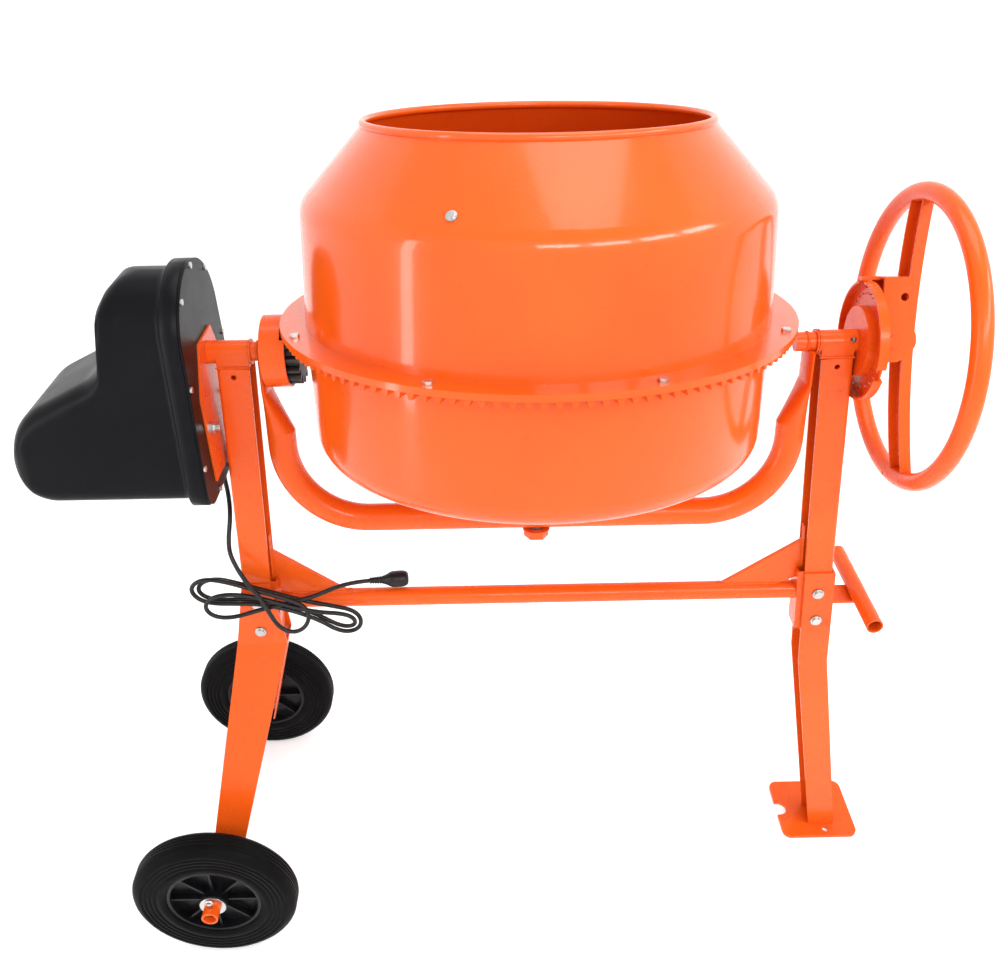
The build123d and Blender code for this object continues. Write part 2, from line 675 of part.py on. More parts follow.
def make_drum_seal():
    """The rubber ring between the two flanges."""
    seal = tube("Z", TOOTH_OUT_R, DRUM_R - DRUM_WALL, SEAL_W, UPPER_FLANGE_W)
    for hole in flange_bolt_rods(3 + HOLE_GAP):
        seal -= hole
    return seal


FLANGE_BOLTS = 8
FLANGE_BOLT_ANGLE = 246.5


def flange_bolt_rods(radius):
    """Rods through the flange bolts' places."""
    one = rod("Z", radius, RING_ROOT_W - 1, FLANGE_TOP_W + 3, (TOOTH_MEAN_R, 0))
    return spun(one, FLANGE_BOLTS, FLANGE_BOLT_ANGLE)


def make_ring_gear():
    """The crown gear: four cast segments with teeth that point down."""
    web = tube("Z", TOOTH_OUT_R, RING_BAND_R - 5, RING_ROOT_W, LOWER_FLANGE_W)
    band = tube("Z", RING_BAND_R, RING_BAND_R - 5, RING_TIP_W, RING_ROOT_W + 1)
    slope = math.tan(math.radians(PRESSURE_ANGLE))
    half = (PITCH / 2 - BACKLASH) / 2
    tip = half - ADDENDUM * slope
    root = half + (RING_ROOT_W - PINION_R) * slope

    def end_face(radius):
        k = radius / TOOTH_MEAN_R
        points = [(-tip * k, RING_TIP_W), (tip * k, RING_TIP_W), (root * k, RING_ROOT_W + 1),
                  (-root * k, RING_ROOT_W + 1)]
        return Pos(radius, 0, 0) * plane_face("X", points)

    tooth = loft([end_face(TOOTH_IN_R), end_face(TOOTH_OUT_R)], ruled=True)
    ring = (web + band).fuse(*spun(tooth, RING_TEETH, 180 / RING_TEETH))
    for hole in flange_bolt_rods(3 + HOLE_GAP):
        ring -= hole
    saw = block((250, 340), (-0.2, 0.2), (RING_TIP_W - 5, LOWER_FLANGE_W + 5))
    for cut in spun(saw, 4, 360 / RING_TEETH * 2):
        ring -= cut
    return group(ring.solids())


BLADE_ANGLES = (245.5, 65.5)
BLADE_X = 277
BLADE_T = 4
BLADE_BOLT_R = 3
CONE_BOLT_R = 266          # the upper bolt's place on the cone
FLOOR_BOLT_R = 225         # the lower bolt's place on the floor
TAB_X = (-6.6, -2.6)       # a blade's tab, measured outwards from the drum's outside
TAB_REACH = 17             # from the blade to its bolts
BLADE_HOLE = rod("X", BLADE_BOLT_R + HOLE_GAP, -12, 6)


def blade_frames(turn):
    """The frames of a blade's upper and lower bolt: origin on the drum's outside, +X outwards."""
    run = SHOULDER_R - MOUTH_R
    rise = MOUTH_W - SHOULDER_W
    height = SHOULDER_W + (SHOULDER_R - CONE_BOLT_R) * rise / run
    upper = Pos(CONE_BOLT_R, 0, height) * Rot(0, -math.degrees(math.atan2(run, rise)), 0)
    lower = Pos(FLOOR_BOLT_R, 0, BASE_W) * Rot(0, 90, 0)
    turns = [turn + math.degrees(math.atan(TAB_REACH / r)) for r in (CONE_BOLT_R, FLOOR_BOLT_R)]
    return Rot(0, 0, turns[0]) * upper, Rot(0, 0, turns[1]) * lower


def make_blades():
    """The two mixing blades, each a shaped plate with a tab at its top and bottom."""
    outline = [(BLADE_X, -86), (BLADE_X, 176), (272, 192), (268, 202.5), (256, 215.5), (240, 200),
               (192, 150), (176, 60), (196, -30), (215, -115.5), (250, -115.5), (266, -108)]
    plate = prism("Y", outline, -BLADE_T / 2, BLADE_T / 2)
    tab = block(TAB_X, (-TAB_REACH - 1.5, 12), (-12, 12)) - BLADE_HOLE
    blades = []
    for turn in BLADE_ANGLES:
        blade = Rot(0, 0, turn) * plate
        for frame in blade_frames(turn):
            blade += frame * tab
        blades.append(blade)
    return group(blades)


def make_drum_bolts():
    """Flange bolts and blade bolts."""
    solids = []
    top = FLANGE_TOP_W
    one = rod("Z", 3, RING_ROOT_W + 0.2, top, (TOOTH_MEAN_R, 0))
    one += hexagon("Z", 10, top, top + 4, (TOOTH_MEAN_R, 0))
    solids += spun(one, FLANGE_BOLTS, FLANGE_BOLT_ANGLE)
    pin = rod("X", BLADE_BOLT_R, TAB_X[0] - 7, 0.3)
    pin += rod("X", 6, 0.3, 2.3) + rod("X", 4, 0.3, 3.8)
    nut = hexagon("X", 10, TAB_X[0] - 5, TAB_X[0], (0, 0)) - rod("X", BLADE_BOLT_R, -50, 0)
    for turn in BLADE_ANGLES:
        for frame in blade_frames(turn):
            solids += [frame * pin, frame * nut]
    return group(solids)


def make_drum_shaft():
    """The drum's shaft with the flange that carries the drum's floor."""
    low = bearing_lows()
    shaft = rod("Z", SHAFT_R, YOKE_W - YOKE_R - 16, BASE_W + 8)
    shaft += rod("Z", 90, BASE_W - 6, BASE_W)
    return shaft + rod("Z", 14, low[0] + BEARING_T + FREE_GAP, BASE_W - 6)


def make_shaft_nut():
    """The nut and washer under the yoke."""
    top = YOKE_W - YOKE_R - 1.5
    nut = hexagon("Z", 30, top - 13, top - 3, (0, 0)) + rod("Z", 19, top - 3, top)
    return nut - rod("Z", SHAFT_R, -400, 0)


# ---- pinion ----------------------------------------------------------------------------------------
def make_pinion():
    """The spur pinion about X, with a tooth straight up."""
    base = PINION_R * math.cos(math.radians(PRESSURE_ANGLE))
    tip = PINION_R + ADDENDUM
    root = PINION_R - ADDENDUM - TOOTH_GAP

    def involute(radius):
        angle = math.acos(min(1, base / radius))
        return math.tan(angle) - angle

    half = (PITCH / 2 - BACKLASH) / 2 / PINION_R
    start = max(root, base)
    steps = 5
    flank = []
    for i in range(steps + 1):
        radius = start + (tip - start) * i / steps
        flank.append((radius, half + involute(PINION_R) - involute(radius)))
    foot = (root, flank[0][1])
    side = [foot] + flank if root < base else flank
    points = []
    for tooth in range(PINION_TEETH):
        middle = 2 * math.pi * tooth / PINION_TEETH
        for radius, angle in side:
            points.append((radius * math.sin(middle - angle), radius * math.cos(middle - angle)))
        for radius, angle in reversed(side):
            points.append((radius * math.sin(middle + angle), radius * math.cos(middle + angle)))
    gear = prism("X", points, PINION_X0, PINION_X1)
    return gear - rod("X", DRIVE_R, PINION_X0 - 1, PINION_X1 + 1)


def make_driven_pulley():
    """The large belt pulley on the drive shaft."""
    x0, x1 = BELT_X[0] - 1.5, BELT_X[1] + 1.5
    rim = tube("X", BIG_PULLEY_R, BIG_PULLEY_R - 7, x0, x1)
    lips = tube("X", BIG_PULLEY_R + PULLEY_LIP, BIG_PULLEY_R - 2, x0, x0 + 1)
    lips += tube("X", BIG_PULLEY_R + PULLEY_LIP, BIG_PULLEY_R - 2, x1 - 1, x1)
    web = tube("X", BIG_PULLEY_R - 5, DRIVE_R, x0 + 5, x1 - 5)
    return rim + lips + web + tube("X", 18, DRIVE_R, x0 - 3, x1)


# ---- drive housing -------------------------------------------------------------------------------
def housing_outline(grow):
    """The housing's outline across X: a round hump over a body that widens downwards."""
    low = HOUSING_LOW_HALF + grow
    top = HUMP_R + grow
    bottom = HOUSING_BOTTOM - grow
    arch = ThreePointArc((0, -top, HUMP_Z), (0, 0, HUMP_Z + top), (0, top, HUMP_Z))
    skirt = FilletPolyline((0, top, HUMP_Z), (0, low, bottom), (0, -low, bottom),
                           (0, -top, HUMP_Z), radius=HOUSING_CORNER + grow)
    return make_face([arch] + skirt.edges())


def housing_solid(inset):
    """The cover's outer or inner solid."""
    top = HUMP_Z + HUMP_R - inset
    bottom = HOUSING_BOTTOM + inset
    left = HOUSING_LEFT + inset
    back = BACK_X[0]
    drop = 0.6 * inset
    line = FilletPolyline((back, 0, top), (-530 + inset, 0, top), (-538 + inset, 0, TILT_HEIGHT + 4 - drop),
                          (left + 18, 0, MOTOR_Z + 40 - drop), (left, 0, bottom), (back, 0, bottom),
                          radius=[42 - inset, 60, 80 - inset, 52 - inset])
    side = make_face(line.edges() + [Line((back, 0, bottom), (back, 0, top))])
    width = Pos(0, -150, 0) * extrude(side, 300, dir=Vector(0, 1, 0))
    length = Pos(-700, 0, 0) * extrude(housing_outline(-inset), 700 + back, dir=Vector(1, 0, 0))
    return width & length


def make_motor_cover(outer):
    """The plastic cover: a shell open towards the stand, with a thick rim."""
    rim = extrude(housing_outline(COVER_RIM), BACK_X[0] - COVER_RIM_X, dir=Vector(1, 0, 0))
    cover = outer + Pos(COVER_RIM_X, 0, 0) * rim
    cover -= housing_solid(COVER_WALL)
    cover -= rod("Z", 9, HOUSING_BOTTOM - 30, HOUSING_BOTTOM + 30, (GLAND_X, GLAND_Y))
    for y, z in SCREW_PLACES:
        cover -= rod("X", 2, COVER_RIM_X + 4, BACK_X[1], (y, z))
    return cover


def rim_half(z):
    """Half the rim's width at a height, measured to the middle of the rim."""
    widening = (HOUSING_LOW_HALF - HUMP_R) * (HUMP_Z - z) / (HUMP_Z - HOUSING_BOTTOM)
    return HUMP_R + widening + COVER_RIM / 2


SCREW_CIRCLE = HUMP_R + COVER_RIM / 2
SCREW_PLACES = [(SCREW_CIRCLE * math.sin(math.radians(a)),
                 HUMP_Z + SCREW_CIRCLE * math.cos(math.radians(a))) for a in (-45, 0, 45)]
SCREW_PLACES += [(side * rim_half(z), z) for side in (-1, 1) for z in (TILT_HEIGHT - 10, MOTOR_Z - 18)]
SCREW_PLACES += [(y, HOUSING_BOTTOM - COVER_RIM / 2) for y in (-50, 10)]
PLATE_BOLTS = [(-52, MOTOR_Z + 18), (52, MOTOR_Z + 18)]


def make_back_plate():
    """The plastic plate that closes the cover."""
    plate = extrude(housing_outline(COVER_RIM), BACK_X[1] - BACK_X[0], dir=Vector(1, 0, 0))
    plate = Pos(BACK_X[0], 0, 0) * plate
    plate -= rod("X", 20, -500, -400, (0, TILT_HEIGHT))
    for y, z in SCREW_PLACES:
        plate -= rod("X", 2, -500, -400, (y, z))
    for y, z in PLATE_BOLTS:
        plate -= rod("X", 4 + HOLE_GAP, -500, -400, (y, z))
    low = MOTOR_Z - MOTOR_R
    slot = SHELF_HALF + 1
    return plate - block((-500, -400), (-slot, slot), (low - 5, low + 1))


def make_mounting_plate():
    """The steel plate on the left sleeve, with the shelf that carries the motor."""
    low, waist, top = MOTOR_Z - 58, TILT_HEIGHT - 40, TILT_HEIGHT + 25
    plate = prism("X", [(-62, low), (62, low), (62, waist), (30, top), (-30, top), (-62, waist)],
                  *PLATE_X)
    plate -= rod("X", SLEEVE_R, -500, -400, (0, TILT_HEIGHT))
    for y, z in PLATE_BOLTS:
        plate -= rod("X", 4 + HOLE_GAP, -500, -400, (y, z))
    shelf_top = MOTOR_Z - MOTOR_R
    half = SHELF_HALF
    shelf = block((MOTOR_X[0] + 10, PLATE_X[1]), (-half, half), (shelf_top - 4, shelf_top))
    shelf += block((MOTOR_X[0] + 20, MOTOR_X[1] - 20), (-half, half), (shelf_top, shelf_top + 12))
    return plate + (shelf - rod("X", MOTOR_R, -700, -400, (0, MOTOR_Z)))


def make_cover_screws():
    """The screws round the cover's rim."""
    solids = []
    for y, z in SCREW_PLACES:
        solids.append(rod("X", 2, COVER_RIM_X + 5, BACK_X[1], (y, z))
                      + rod("X", 4, BACK_X[1], BACK_X[1] + 2.5, (y, z)))
    return group(solids)


def make_motor():
    """The motor's body, hollow for its rotor, with a bore at each end."""
    x0, x1 = MOTOR_X
    body = rod("X", MOTOR_R, x0, x1, (0, MOTOR_Z))
    body -= rod("X", ROTOR_R + 1, x0 + 12, x1 - 12, (0, MOTOR_Z))
    return body - rod("X", MOTOR_SHAFT_R + FIT_GAP, x0 - 1, x1 + 1, (0, MOTOR_Z))


def make_motor_shaft():
    """The motor's shaft with its rotor core."""
    shaft = rod("X", MOTOR_SHAFT_R, MOTOR_X[0] - 22, BELT_X[1] + 2, (0, MOTOR_Z))
    return shaft + rod("X", ROTOR_R, MOTOR_X[0] + 20, MOTOR_X[1] - 20, (0, MOTOR_Z))


def make_motor_pulley():
    """The small belt pulley."""
    x0, x1 = BELT_X[0] - 1.5, BELT_X[1] + 1.5
    body = rod("X", SMALL_PULLEY_R, x0, x1, (0, MOTOR_Z))
    for low, high in ((x0, x0 + 1), (x1 - 1, x1)):
        body += rod("X", SMALL_PULLEY_R + PULLEY_LIP, low, high, (0, MOTOR_Z))
    return body - rod("X", MOTOR_SHAFT_R, x0 - 1, x1 + 1, (0, MOTOR_Z))


def make_fan():
    """The motor's cooling fan."""
    x0 = MOTOR_X[0] - 20
    fan = tube("X", 14, MOTOR_SHAFT_R, x0, x0 + 15, (0, MOTOR_Z))
    fan += tube("X", 44, 12, x0 + 12, x0 + 15, (0, MOTOR_Z))
    vane = block((x0 + 1, x0 + 13), (-1, 1), (12, 44))
    for i in range(6):
        fan += Pos(0, 0, MOTOR_Z) * Rot(60 * i, 0, 0) * vane
    return fan


def belt_loop(grow):
    """The area inside a belt round both pulleys, grown outwards."""
    big, small = BIG_PULLEY_R + grow, SMALL_PULLEY_R + grow
    span = TILT_HEIGHT - MOTOR_Z
    lean = math.asin((big - small) / span)
    side = [(s * r * math.cos(lean), z - r * math.sin(lean))
            for s, r, z in ((1, big, TILT_HEIGHT), (1, small, MOTOR_Z), (-1, small, MOTOR_Z),
                            (-1, big, TILT_HEIGHT))]
    x0, x1 = BELT_X
    return (prism("X", side, x0, x1) + rod("X", big, x0, x1, (0, TILT_HEIGHT))
            + rod("X", small, x0, x1, (0, MOTOR_Z)))


def make_switch_box(outer):
    """The switch's box on the housing's far side, with a pocket for each button."""
    box = block((-570, -494), (80, 112), (BUTTON_Z - 30, BUTTON_Z + 30))
    box = fillet(box.edges().filter_by(Axis.Y), 6) - outer
    for x in BUTTON_X:
        box -= rod("Y", BUTTON_R + 0.4, 98, 120, (x, BUTTON_Z))
    return box


BUTTON_X = (-550, -514)


def make_button(x, proud):
    """A push button in its pocket, with room for its travel."""
    return rod("Y", BUTTON_R, 98 + BUTTON_TRAVEL + 0.5, 112 + proud, (x, BUTTON_Z))


# ---- cord ------------------------------------------------------------------------------------------
def cord_run(points):
    """A round tube along straight runs joined by large tangent arcs."""
    corners = [Vector(*p) for p in points]
    radii = []
    for before, here, after in zip(corners, corners[1:], corners[2:]):
        turn = (here - before).get_angle(after - here)
        shorter = min((here - before).length, (after - here).length)
        radii.append(0.45 * shorter / math.tan(math.radians(turn / 2)))
    route = FilletPolyline(*points, radius=radii)
    print("cord radii", [round(r) for r in radii], "length", round(route.length))
    solid = sweep(Plane(origin=route @ 0, z_dir=route % 0) * Circle(CORD_R), path=route)
    print("cord volume ratio", round(solid.volume / (math.pi * CORD_R ** 2 * route.length), 4))
    return solid


def make_plug():
    """The moulded plug on the end of the cord."""
    start, end = Vector(*TAIL[-1]), Vector(*PLUG_END)
    length = (end - start).length
    outline = [(0, 0), (CORD_R + 1.5, 0), (CORD_R + 2.5, 20), (PLUG_R, 32), (PLUG_R, length - 9),
               (PLUG_R - 5, length), (0, length)]
    return Plane(origin=start, z_dir=end - start) * turned(outline, {4: 6})


# ---- build -----------------------------------------------------------------------------------------
def build_frame():
    """Everything that stands still."""
    left_stand, left_head = make_stand(-1, SLEEVE_LEFT)
    right_stand, right_head = make_stand(1, SLEEVE_RIGHT)
    cross_tube = make_cross_tube()
    foot_leg = make_foot_leg()
    parts["left_stand"] = left_stand
    parts["right_stand"] = right_stand
    parts["left_sleeve"] = left_head
    parts["right_sleeve"] = right_head
    parts["cross_tube"] = cross_tube
    parts["gussets"] = make_gussets(cross_tube, {-1: left_stand, 1: right_stand})
    parts["front_wheel_leg"] = make_wheel_leg(-1)
    parts["rear_wheel_leg"] = make_wheel_leg(1)
    parts["foot_leg"] = foot_leg
    parts["foot_plate"] = make_foot_plate()
    parts["lift_handle"] = make_lift_handle(foot_leg)
    parts["axle"] = make_axle()
    parts["axle_keepers"] = make_axle_keepers()
    parts["frame_bolts"] = make_frame_bolts()
    parts["lock_disc"] = WHEEL * make_lock_disc()


def build_housing():
    """The drive housing and what it holds."""
    outer = housing_solid(0)
    parts["mounting_plate"] = make_mounting_plate()
    parts["back_plate"] = make_back_plate()
    parts["motor_cover"] = make_motor_cover(outer)
    parts["cover_screws"] = make_cover_screws()
    parts["motor_body"] = make_motor()
    parts["capacitor"] = rod("X", 19, *CAPACITOR_X, (0, MOTOR_Z + 81))
    parts["drive_belt"] = Pos(0, 0, 0) * (belt_loop(0.35 + BELT_T) - belt_loop(0.35))
    parts["switch_box"] = make_switch_box(outer)
    parts["start_button"] = make_button(BUTTON_X[0], 3)
    parts["stop_button"] = make_button(BUTTON_X[1], 5)
    parts["motor_shaft"] = make_motor_shaft()
    parts["motor_pulley"] = make_motor_pulley()
    parts["motor_fan"] = make_fan()


def build_cord():
    """The lead, its hank, the plug and the gland that it leaves."""
    gland = rod("Z", 9, HOUSING_BOTTOM, HOUSING_BOTTOM + 10, (GLAND_X, GLAND_Y))
    gland = gland + hexagon("Z", 26, CORD_EXIT_Z + 6, HOUSING_BOTTOM - COVER_RIM, (GLAND_X, GLAND_Y))
    gland += rod("Z", 9, CORD_EXIT_Z, HOUSING_BOTTOM, (GLAND_X, GLAND_Y))
    parts["cable_gland"] = gland
    lead, tail = cord_run(LEAD), cord_run(TAIL)
    parts["power_cord"] = group([lead, tail])
    hank = prism("Y", HANK_OUTLINE, *HANK_Y)
    parts["cord_hank"] = fillet(hank.edges().filter_by(Axis.Y), 6) - lead - tail
    parts["plug"] = make_plug()


def build_yoke():
    """The yoke, its trunnions, bearings and the handwheel's pin."""
    low = bearing_lows()
    pin_hole = WHEEL * rod("Y", PIN_R, -60, 60, (PIN_X, 0))
    right = CRADLE * rod("X", TRUNNION_R, *TRUNNION_RIGHT) - pin_hole
    parts["yoke"] = CRADLE * make_yoke()
    parts["left_trunnion"] = CRADLE * tube("X", TRUNNION_R, TRUNNION_BORE, *TRUNNION_LEFT)
    parts["right_trunnion"] = right
    parts["pinion_guard"] = CRADLE * make_pinion_guard()
    left, end = TRUNNION_LEFT
    bushes = [tube("X", TRUNNION_BORE, DRIVE_R + FIT_GAP, left, left + BUSH_LENGTH),
              tube("X", TRUNNION_BORE, DRIVE_R + FIT_GAP, end - BUSH_LENGTH, end)]
    parts["shaft_bushes"] = CRADLE * group(bushes)
    parts["bearing_housing"] = CRADLE * make_bearing_housing()
    rings = [tube("Z", BEARING_R, SHAFT_R + FIT_GAP, w, w + BEARING_T) for w in low]
    parts["drum_bearings"] = CRADLE * group(rings)
    washers = [tube("X", WASHER_R, TRUNNION_R, *ends)
               for ends in ((-368.6, -366.2), (359, 361.2), (361.8, 364))]
    parts["trunnion_washers"] = CRADLE * group(washers)
    parts["wheel_pin"] = WHEEL * make_wheel_pin()
    parts["lock_spring"] = WHEEL * make_lock_spring()


def build_drum():
    """The drum, its gear and the drive that turns it."""
    parts["lower_drum"] = CRADLE * make_lower_drum()
    parts["upper_drum"] = CRADLE * make_upper_drum()
    parts["drum_seal"] = CRADLE * make_drum_seal()
    parts["ring_gear"] = CRADLE * make_ring_gear()
    parts["mixing_blades"] = CRADLE * make_blades()
    parts["drum_bolts"] = CRADLE * make_drum_bolts()
    parts["drum_shaft"] = CRADLE * make_drum_shaft()
    parts["shaft_nut"] = CRADLE * make_shaft_nut()
    parts["pinion"] = CRADLE * make_pinion()
    parts["drive_shaft"] = CRADLE * rod("X", DRIVE_R, BELT_X[0] - 8, PINION_X1 + 3)
    parts["driven_pulley"] = CRADLE * make_driven_pulley()


def build_handwheel():
    """The handwheel and the lock that it works."""
    around = Pos(RIM_X, 0, 0) * Rot(0, 90, 0)
    ring = around * Torus(RIM_R, RIM_TUBE) - around * Torus(RIM_R, RIM_TUBE - RIM_WALL)
    bar = make_wheel_bar()
    parts["wheel_rim"] = WHEEL * (ring - rod("X", 2.5, RIM_X - 20, RIM_X, (30, -RIM_R)))
    parts["wheel_bar"] = WHEEL * bar
    parts["lock_bracket"] = WHEEL * (make_lock_bracket() - bar)


def build_wheels():
    """Both road wheels."""
    for name, side in (("front", -1), ("rear", 1)):
        parts[name + "_tyre"] = wheel_place(side) * make_tyre()
        parts[name + "_hub"] = wheel_place(side) * make_hub()


def main():
    """Builds every node, sets the origin and writes the files."""
    build_frame()
    build_housing()
    build_cord()
    build_yoke()
    build_drum()
    build_handwheel()
    build_wheels()
    cord_nodes = ("power_cord", "cord_hank", "plug")
    box = group([shape for name, shape in parts.items() if name not in cord_nodes]).bounding_box()
    middle = box.center()
    print("drum axis from the origin", round(-middle.X, 3), round(-middle.Y, 3), round(-box.min.Z, 3))
    os.makedirs("parts", exist_ok=True)
    for name, shape in parts.items():
        export_step(Pos(-middle.X, -middle.Y, -box.min.Z) * shape, f"parts/{name}.step")


main()
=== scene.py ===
"""A tilting-drum concrete mixer in glossy orange enamel, set on a pale studio floor."""
import json
import logging
import math
from dataclasses import dataclass, field
from enum import Enum

import bmesh
import bpy
from mathutils import Matrix, Vector

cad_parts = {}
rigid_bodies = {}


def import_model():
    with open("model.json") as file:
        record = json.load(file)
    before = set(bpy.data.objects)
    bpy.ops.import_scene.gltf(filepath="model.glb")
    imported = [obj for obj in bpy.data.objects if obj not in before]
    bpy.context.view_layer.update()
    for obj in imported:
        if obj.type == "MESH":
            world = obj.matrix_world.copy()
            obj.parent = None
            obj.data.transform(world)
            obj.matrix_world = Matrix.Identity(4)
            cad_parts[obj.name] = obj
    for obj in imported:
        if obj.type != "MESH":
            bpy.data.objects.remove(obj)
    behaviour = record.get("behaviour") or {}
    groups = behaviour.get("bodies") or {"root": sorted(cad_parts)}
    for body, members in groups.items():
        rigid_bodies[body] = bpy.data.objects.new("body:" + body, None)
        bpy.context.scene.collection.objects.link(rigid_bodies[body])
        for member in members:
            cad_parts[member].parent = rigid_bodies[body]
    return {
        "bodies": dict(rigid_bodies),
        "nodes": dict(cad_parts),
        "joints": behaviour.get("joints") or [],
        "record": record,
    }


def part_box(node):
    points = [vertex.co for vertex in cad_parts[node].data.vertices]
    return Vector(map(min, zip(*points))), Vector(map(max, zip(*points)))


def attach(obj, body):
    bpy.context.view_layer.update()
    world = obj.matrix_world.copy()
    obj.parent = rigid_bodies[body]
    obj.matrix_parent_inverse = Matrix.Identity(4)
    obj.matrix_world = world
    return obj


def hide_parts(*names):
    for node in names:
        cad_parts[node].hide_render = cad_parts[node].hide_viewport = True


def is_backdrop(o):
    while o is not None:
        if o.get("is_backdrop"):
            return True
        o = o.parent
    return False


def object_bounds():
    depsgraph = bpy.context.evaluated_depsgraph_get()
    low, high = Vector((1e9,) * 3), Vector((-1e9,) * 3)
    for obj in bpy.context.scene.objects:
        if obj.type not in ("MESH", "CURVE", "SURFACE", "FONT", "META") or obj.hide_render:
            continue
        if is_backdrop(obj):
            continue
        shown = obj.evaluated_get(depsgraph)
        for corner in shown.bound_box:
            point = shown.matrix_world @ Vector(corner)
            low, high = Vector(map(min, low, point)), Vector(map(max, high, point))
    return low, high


LOG = logging.getLogger("mixer")
MM = 0.001
TILT_HEIGHT = 0.940
DRUM_LEAN = math.radians(7.5)
CORD_DIAMETER = 0.0065


class Grain(Enum):
    """The kinds of fine surface relief."""

    PEEL = "orange peel of sprayed enamel"
    MOULDED = "fine spark texture of moulded plastic"
    CAST = "sand-cast skin"
    BRUSHED = "drawn or turned metal"
    RUBBER = "matt moulded rubber"


# ---- shader maths ----------------------------------------------------------------------------


@dataclass
class Wire:
    """A shader socket that can be used in Python expressions."""

    tree: bpy.types.NodeTree
    socket: bpy.types.NodeSocket

    def _math(self, operation: str, left: "Wire | float", right: "Wire | float") -> "Wire":
        """Adds one Math node.

        Args:
            operation: the node's operation.
            left: its first value.
            right: its second value.

        Returns:
            The node's result.
        """
        node = self.tree.nodes.new("ShaderNodeMath")
        node.operation = operation
        for slot, value in enumerate((left, right)):
            if isinstance(value, Wire):
                self.tree.links.new(value.socket, node.inputs[slot])
            else:
                node.inputs[slot].default_value = value
        return Wire(self.tree, node.outputs[0])

    def __add__(self, other: "Wire | float") -> "Wire":
        """Sum."""
        return self._math("ADD", self, other)

    def __radd__(self, other: float) -> "Wire":
        """Sum, reflected."""
        return self._math("ADD", other, self)

    def __sub__(self, other: "Wire | float") -> "Wire":
        """Difference."""
        return self._math("SUBTRACT", self, other)

    def __rsub__(self, other: float) -> "Wire":
        """Difference, reflected."""
        return self._math("SUBTRACT", other, self)

    def __mul__(self, other: "Wire | float") -> "Wire":
        """Product."""
        return self._math("MULTIPLY", self, other)

    def __rmul__(self, other: float) -> "Wire":
        """Product, reflected."""
        return self._math("MULTIPLY", other, self)

    def power(self, exponent: float) -> "Wire":
        """This value to a power."""
        return self._math("POWER", self, exponent)


class Shader:
    """One material's node tree with its Principled shader."""

    def __init__(self, name: str) -> None:
        """Makes an empty material.

        Args:
            name: the material's name.
        """
        self.material = bpy.data.materials.new(name)
        self.material.use_nodes = True
        self.tree = self.material.node_tree
        self.surface = self.tree.nodes["Principled BSDF"]
        self.place = self.add("ShaderNodeTexCoord", {}, {}, "Object")

    def add(self, kind: str, settings: dict, values: dict, output: str | int = 0) -> Wire:
        """Adds a node of any type.

        Args:
            kind: the node's type.
            settings: its properties; a colour ramp's stops go under "stops".
            values: numbers, colours or wires for its inputs, by name or index.
            output: the output to return.

        Returns:
            The wanted output.
        """
        node = self.tree.nodes.new(kind)
        for key, value in settings.items():
            if key == "stops":
                ramp = node.color_ramp.elements
                while len(ramp) < len(value):
                    ramp.new(0.5)
                for stop, (position, colour) in zip(ramp, value):
                    stop.position = position
                    stop.color = colour
            else:
                setattr(node, key, value)
        for key, value in values.items():
            if isinstance(value, Wire):
                self.tree.links.new(value.socket, node.inputs[key])
            else:
                node.inputs[key].default_value = value
        return Wire(self.tree, node.outputs[output])

    def noise(self, scale: float, detail: float = 2.0, place: Wire | None = None) -> Wire:
        """Smooth noise from 0 to 1.

        Args:
            scale: cells in a metre.
            detail: how many finer layers.
            place: coordinates, the object's own by default.

        Returns:
            The noise.
        """
        values = {"Vector": place or self.place, "Scale": scale, "Detail": detail}
        return self.add("ShaderNodeTexNoise", {}, values, "Fac")

    def ramp(self, value: Wire, low: float, high: float) -> Wire:
        """A soft step: 0 below low and 1 above high."""
        stops = [(low, (0, 0, 0, 1)), (high, (1, 1, 1, 1))]
        return self.add("ShaderNodeValToRGB", {"stops": stops}, {"Fac": value})

    def mix(self, mask: Wire, first: tuple | Wire, second: tuple | Wire) -> Wire:
        """Blends two colours.

        Args:
            mask: 0 gives the first and 1 the second.
            first: a colour or wire.
            second: a colour or wire.

        Returns:
            The blended colour.
        """
        node = self.tree.nodes.new("ShaderNodeMix")
        node.data_type = "RGBA"
        self.tree.links.new(mask.socket, node.inputs[0])
        for slot, value in ((6, first), (7, second)):
            if isinstance(value, Wire):
                self.tree.links.new(value.socket, node.inputs[slot])
            else:
                node.inputs[slot].default_value = value
        return Wire(self.tree, node.outputs[2])

    def wear(self, name: str, value: "Wire | float | tuple") -> None:
        """Sets one input of the Principled shader."""
        if isinstance(value, Wire):
            self.tree.links.new(value.socket, self.surface.inputs[name])
        else:
            self.surface.inputs[name].default_value = value

    def relief(self, height: Wire, distance: float, round_edge: float) -> None:
        """Bump over softly rounded edges.

        Args:
            height: the relief's height, 0 to 1.
            distance: its depth in metres.
            round_edge: the radius that edges catch the light with, in metres.
        """
        edge = self.add("ShaderNodeBevel", {"samples": 4}, {"Radius": round_edge})
        values = {"Height": height, "Distance": distance, "Strength": 1.0, "Normal": edge}
        self.wear("Normal", self.add("ShaderNodeBump", {}, values))


def rgba(red: float, green: float, blue: float) -> tuple[float, float, float, float]:
    """A full colour from three parts."""
    return (red, green, blue, 1.0)


# ---- finishes --------------------------------------------------------------------------------


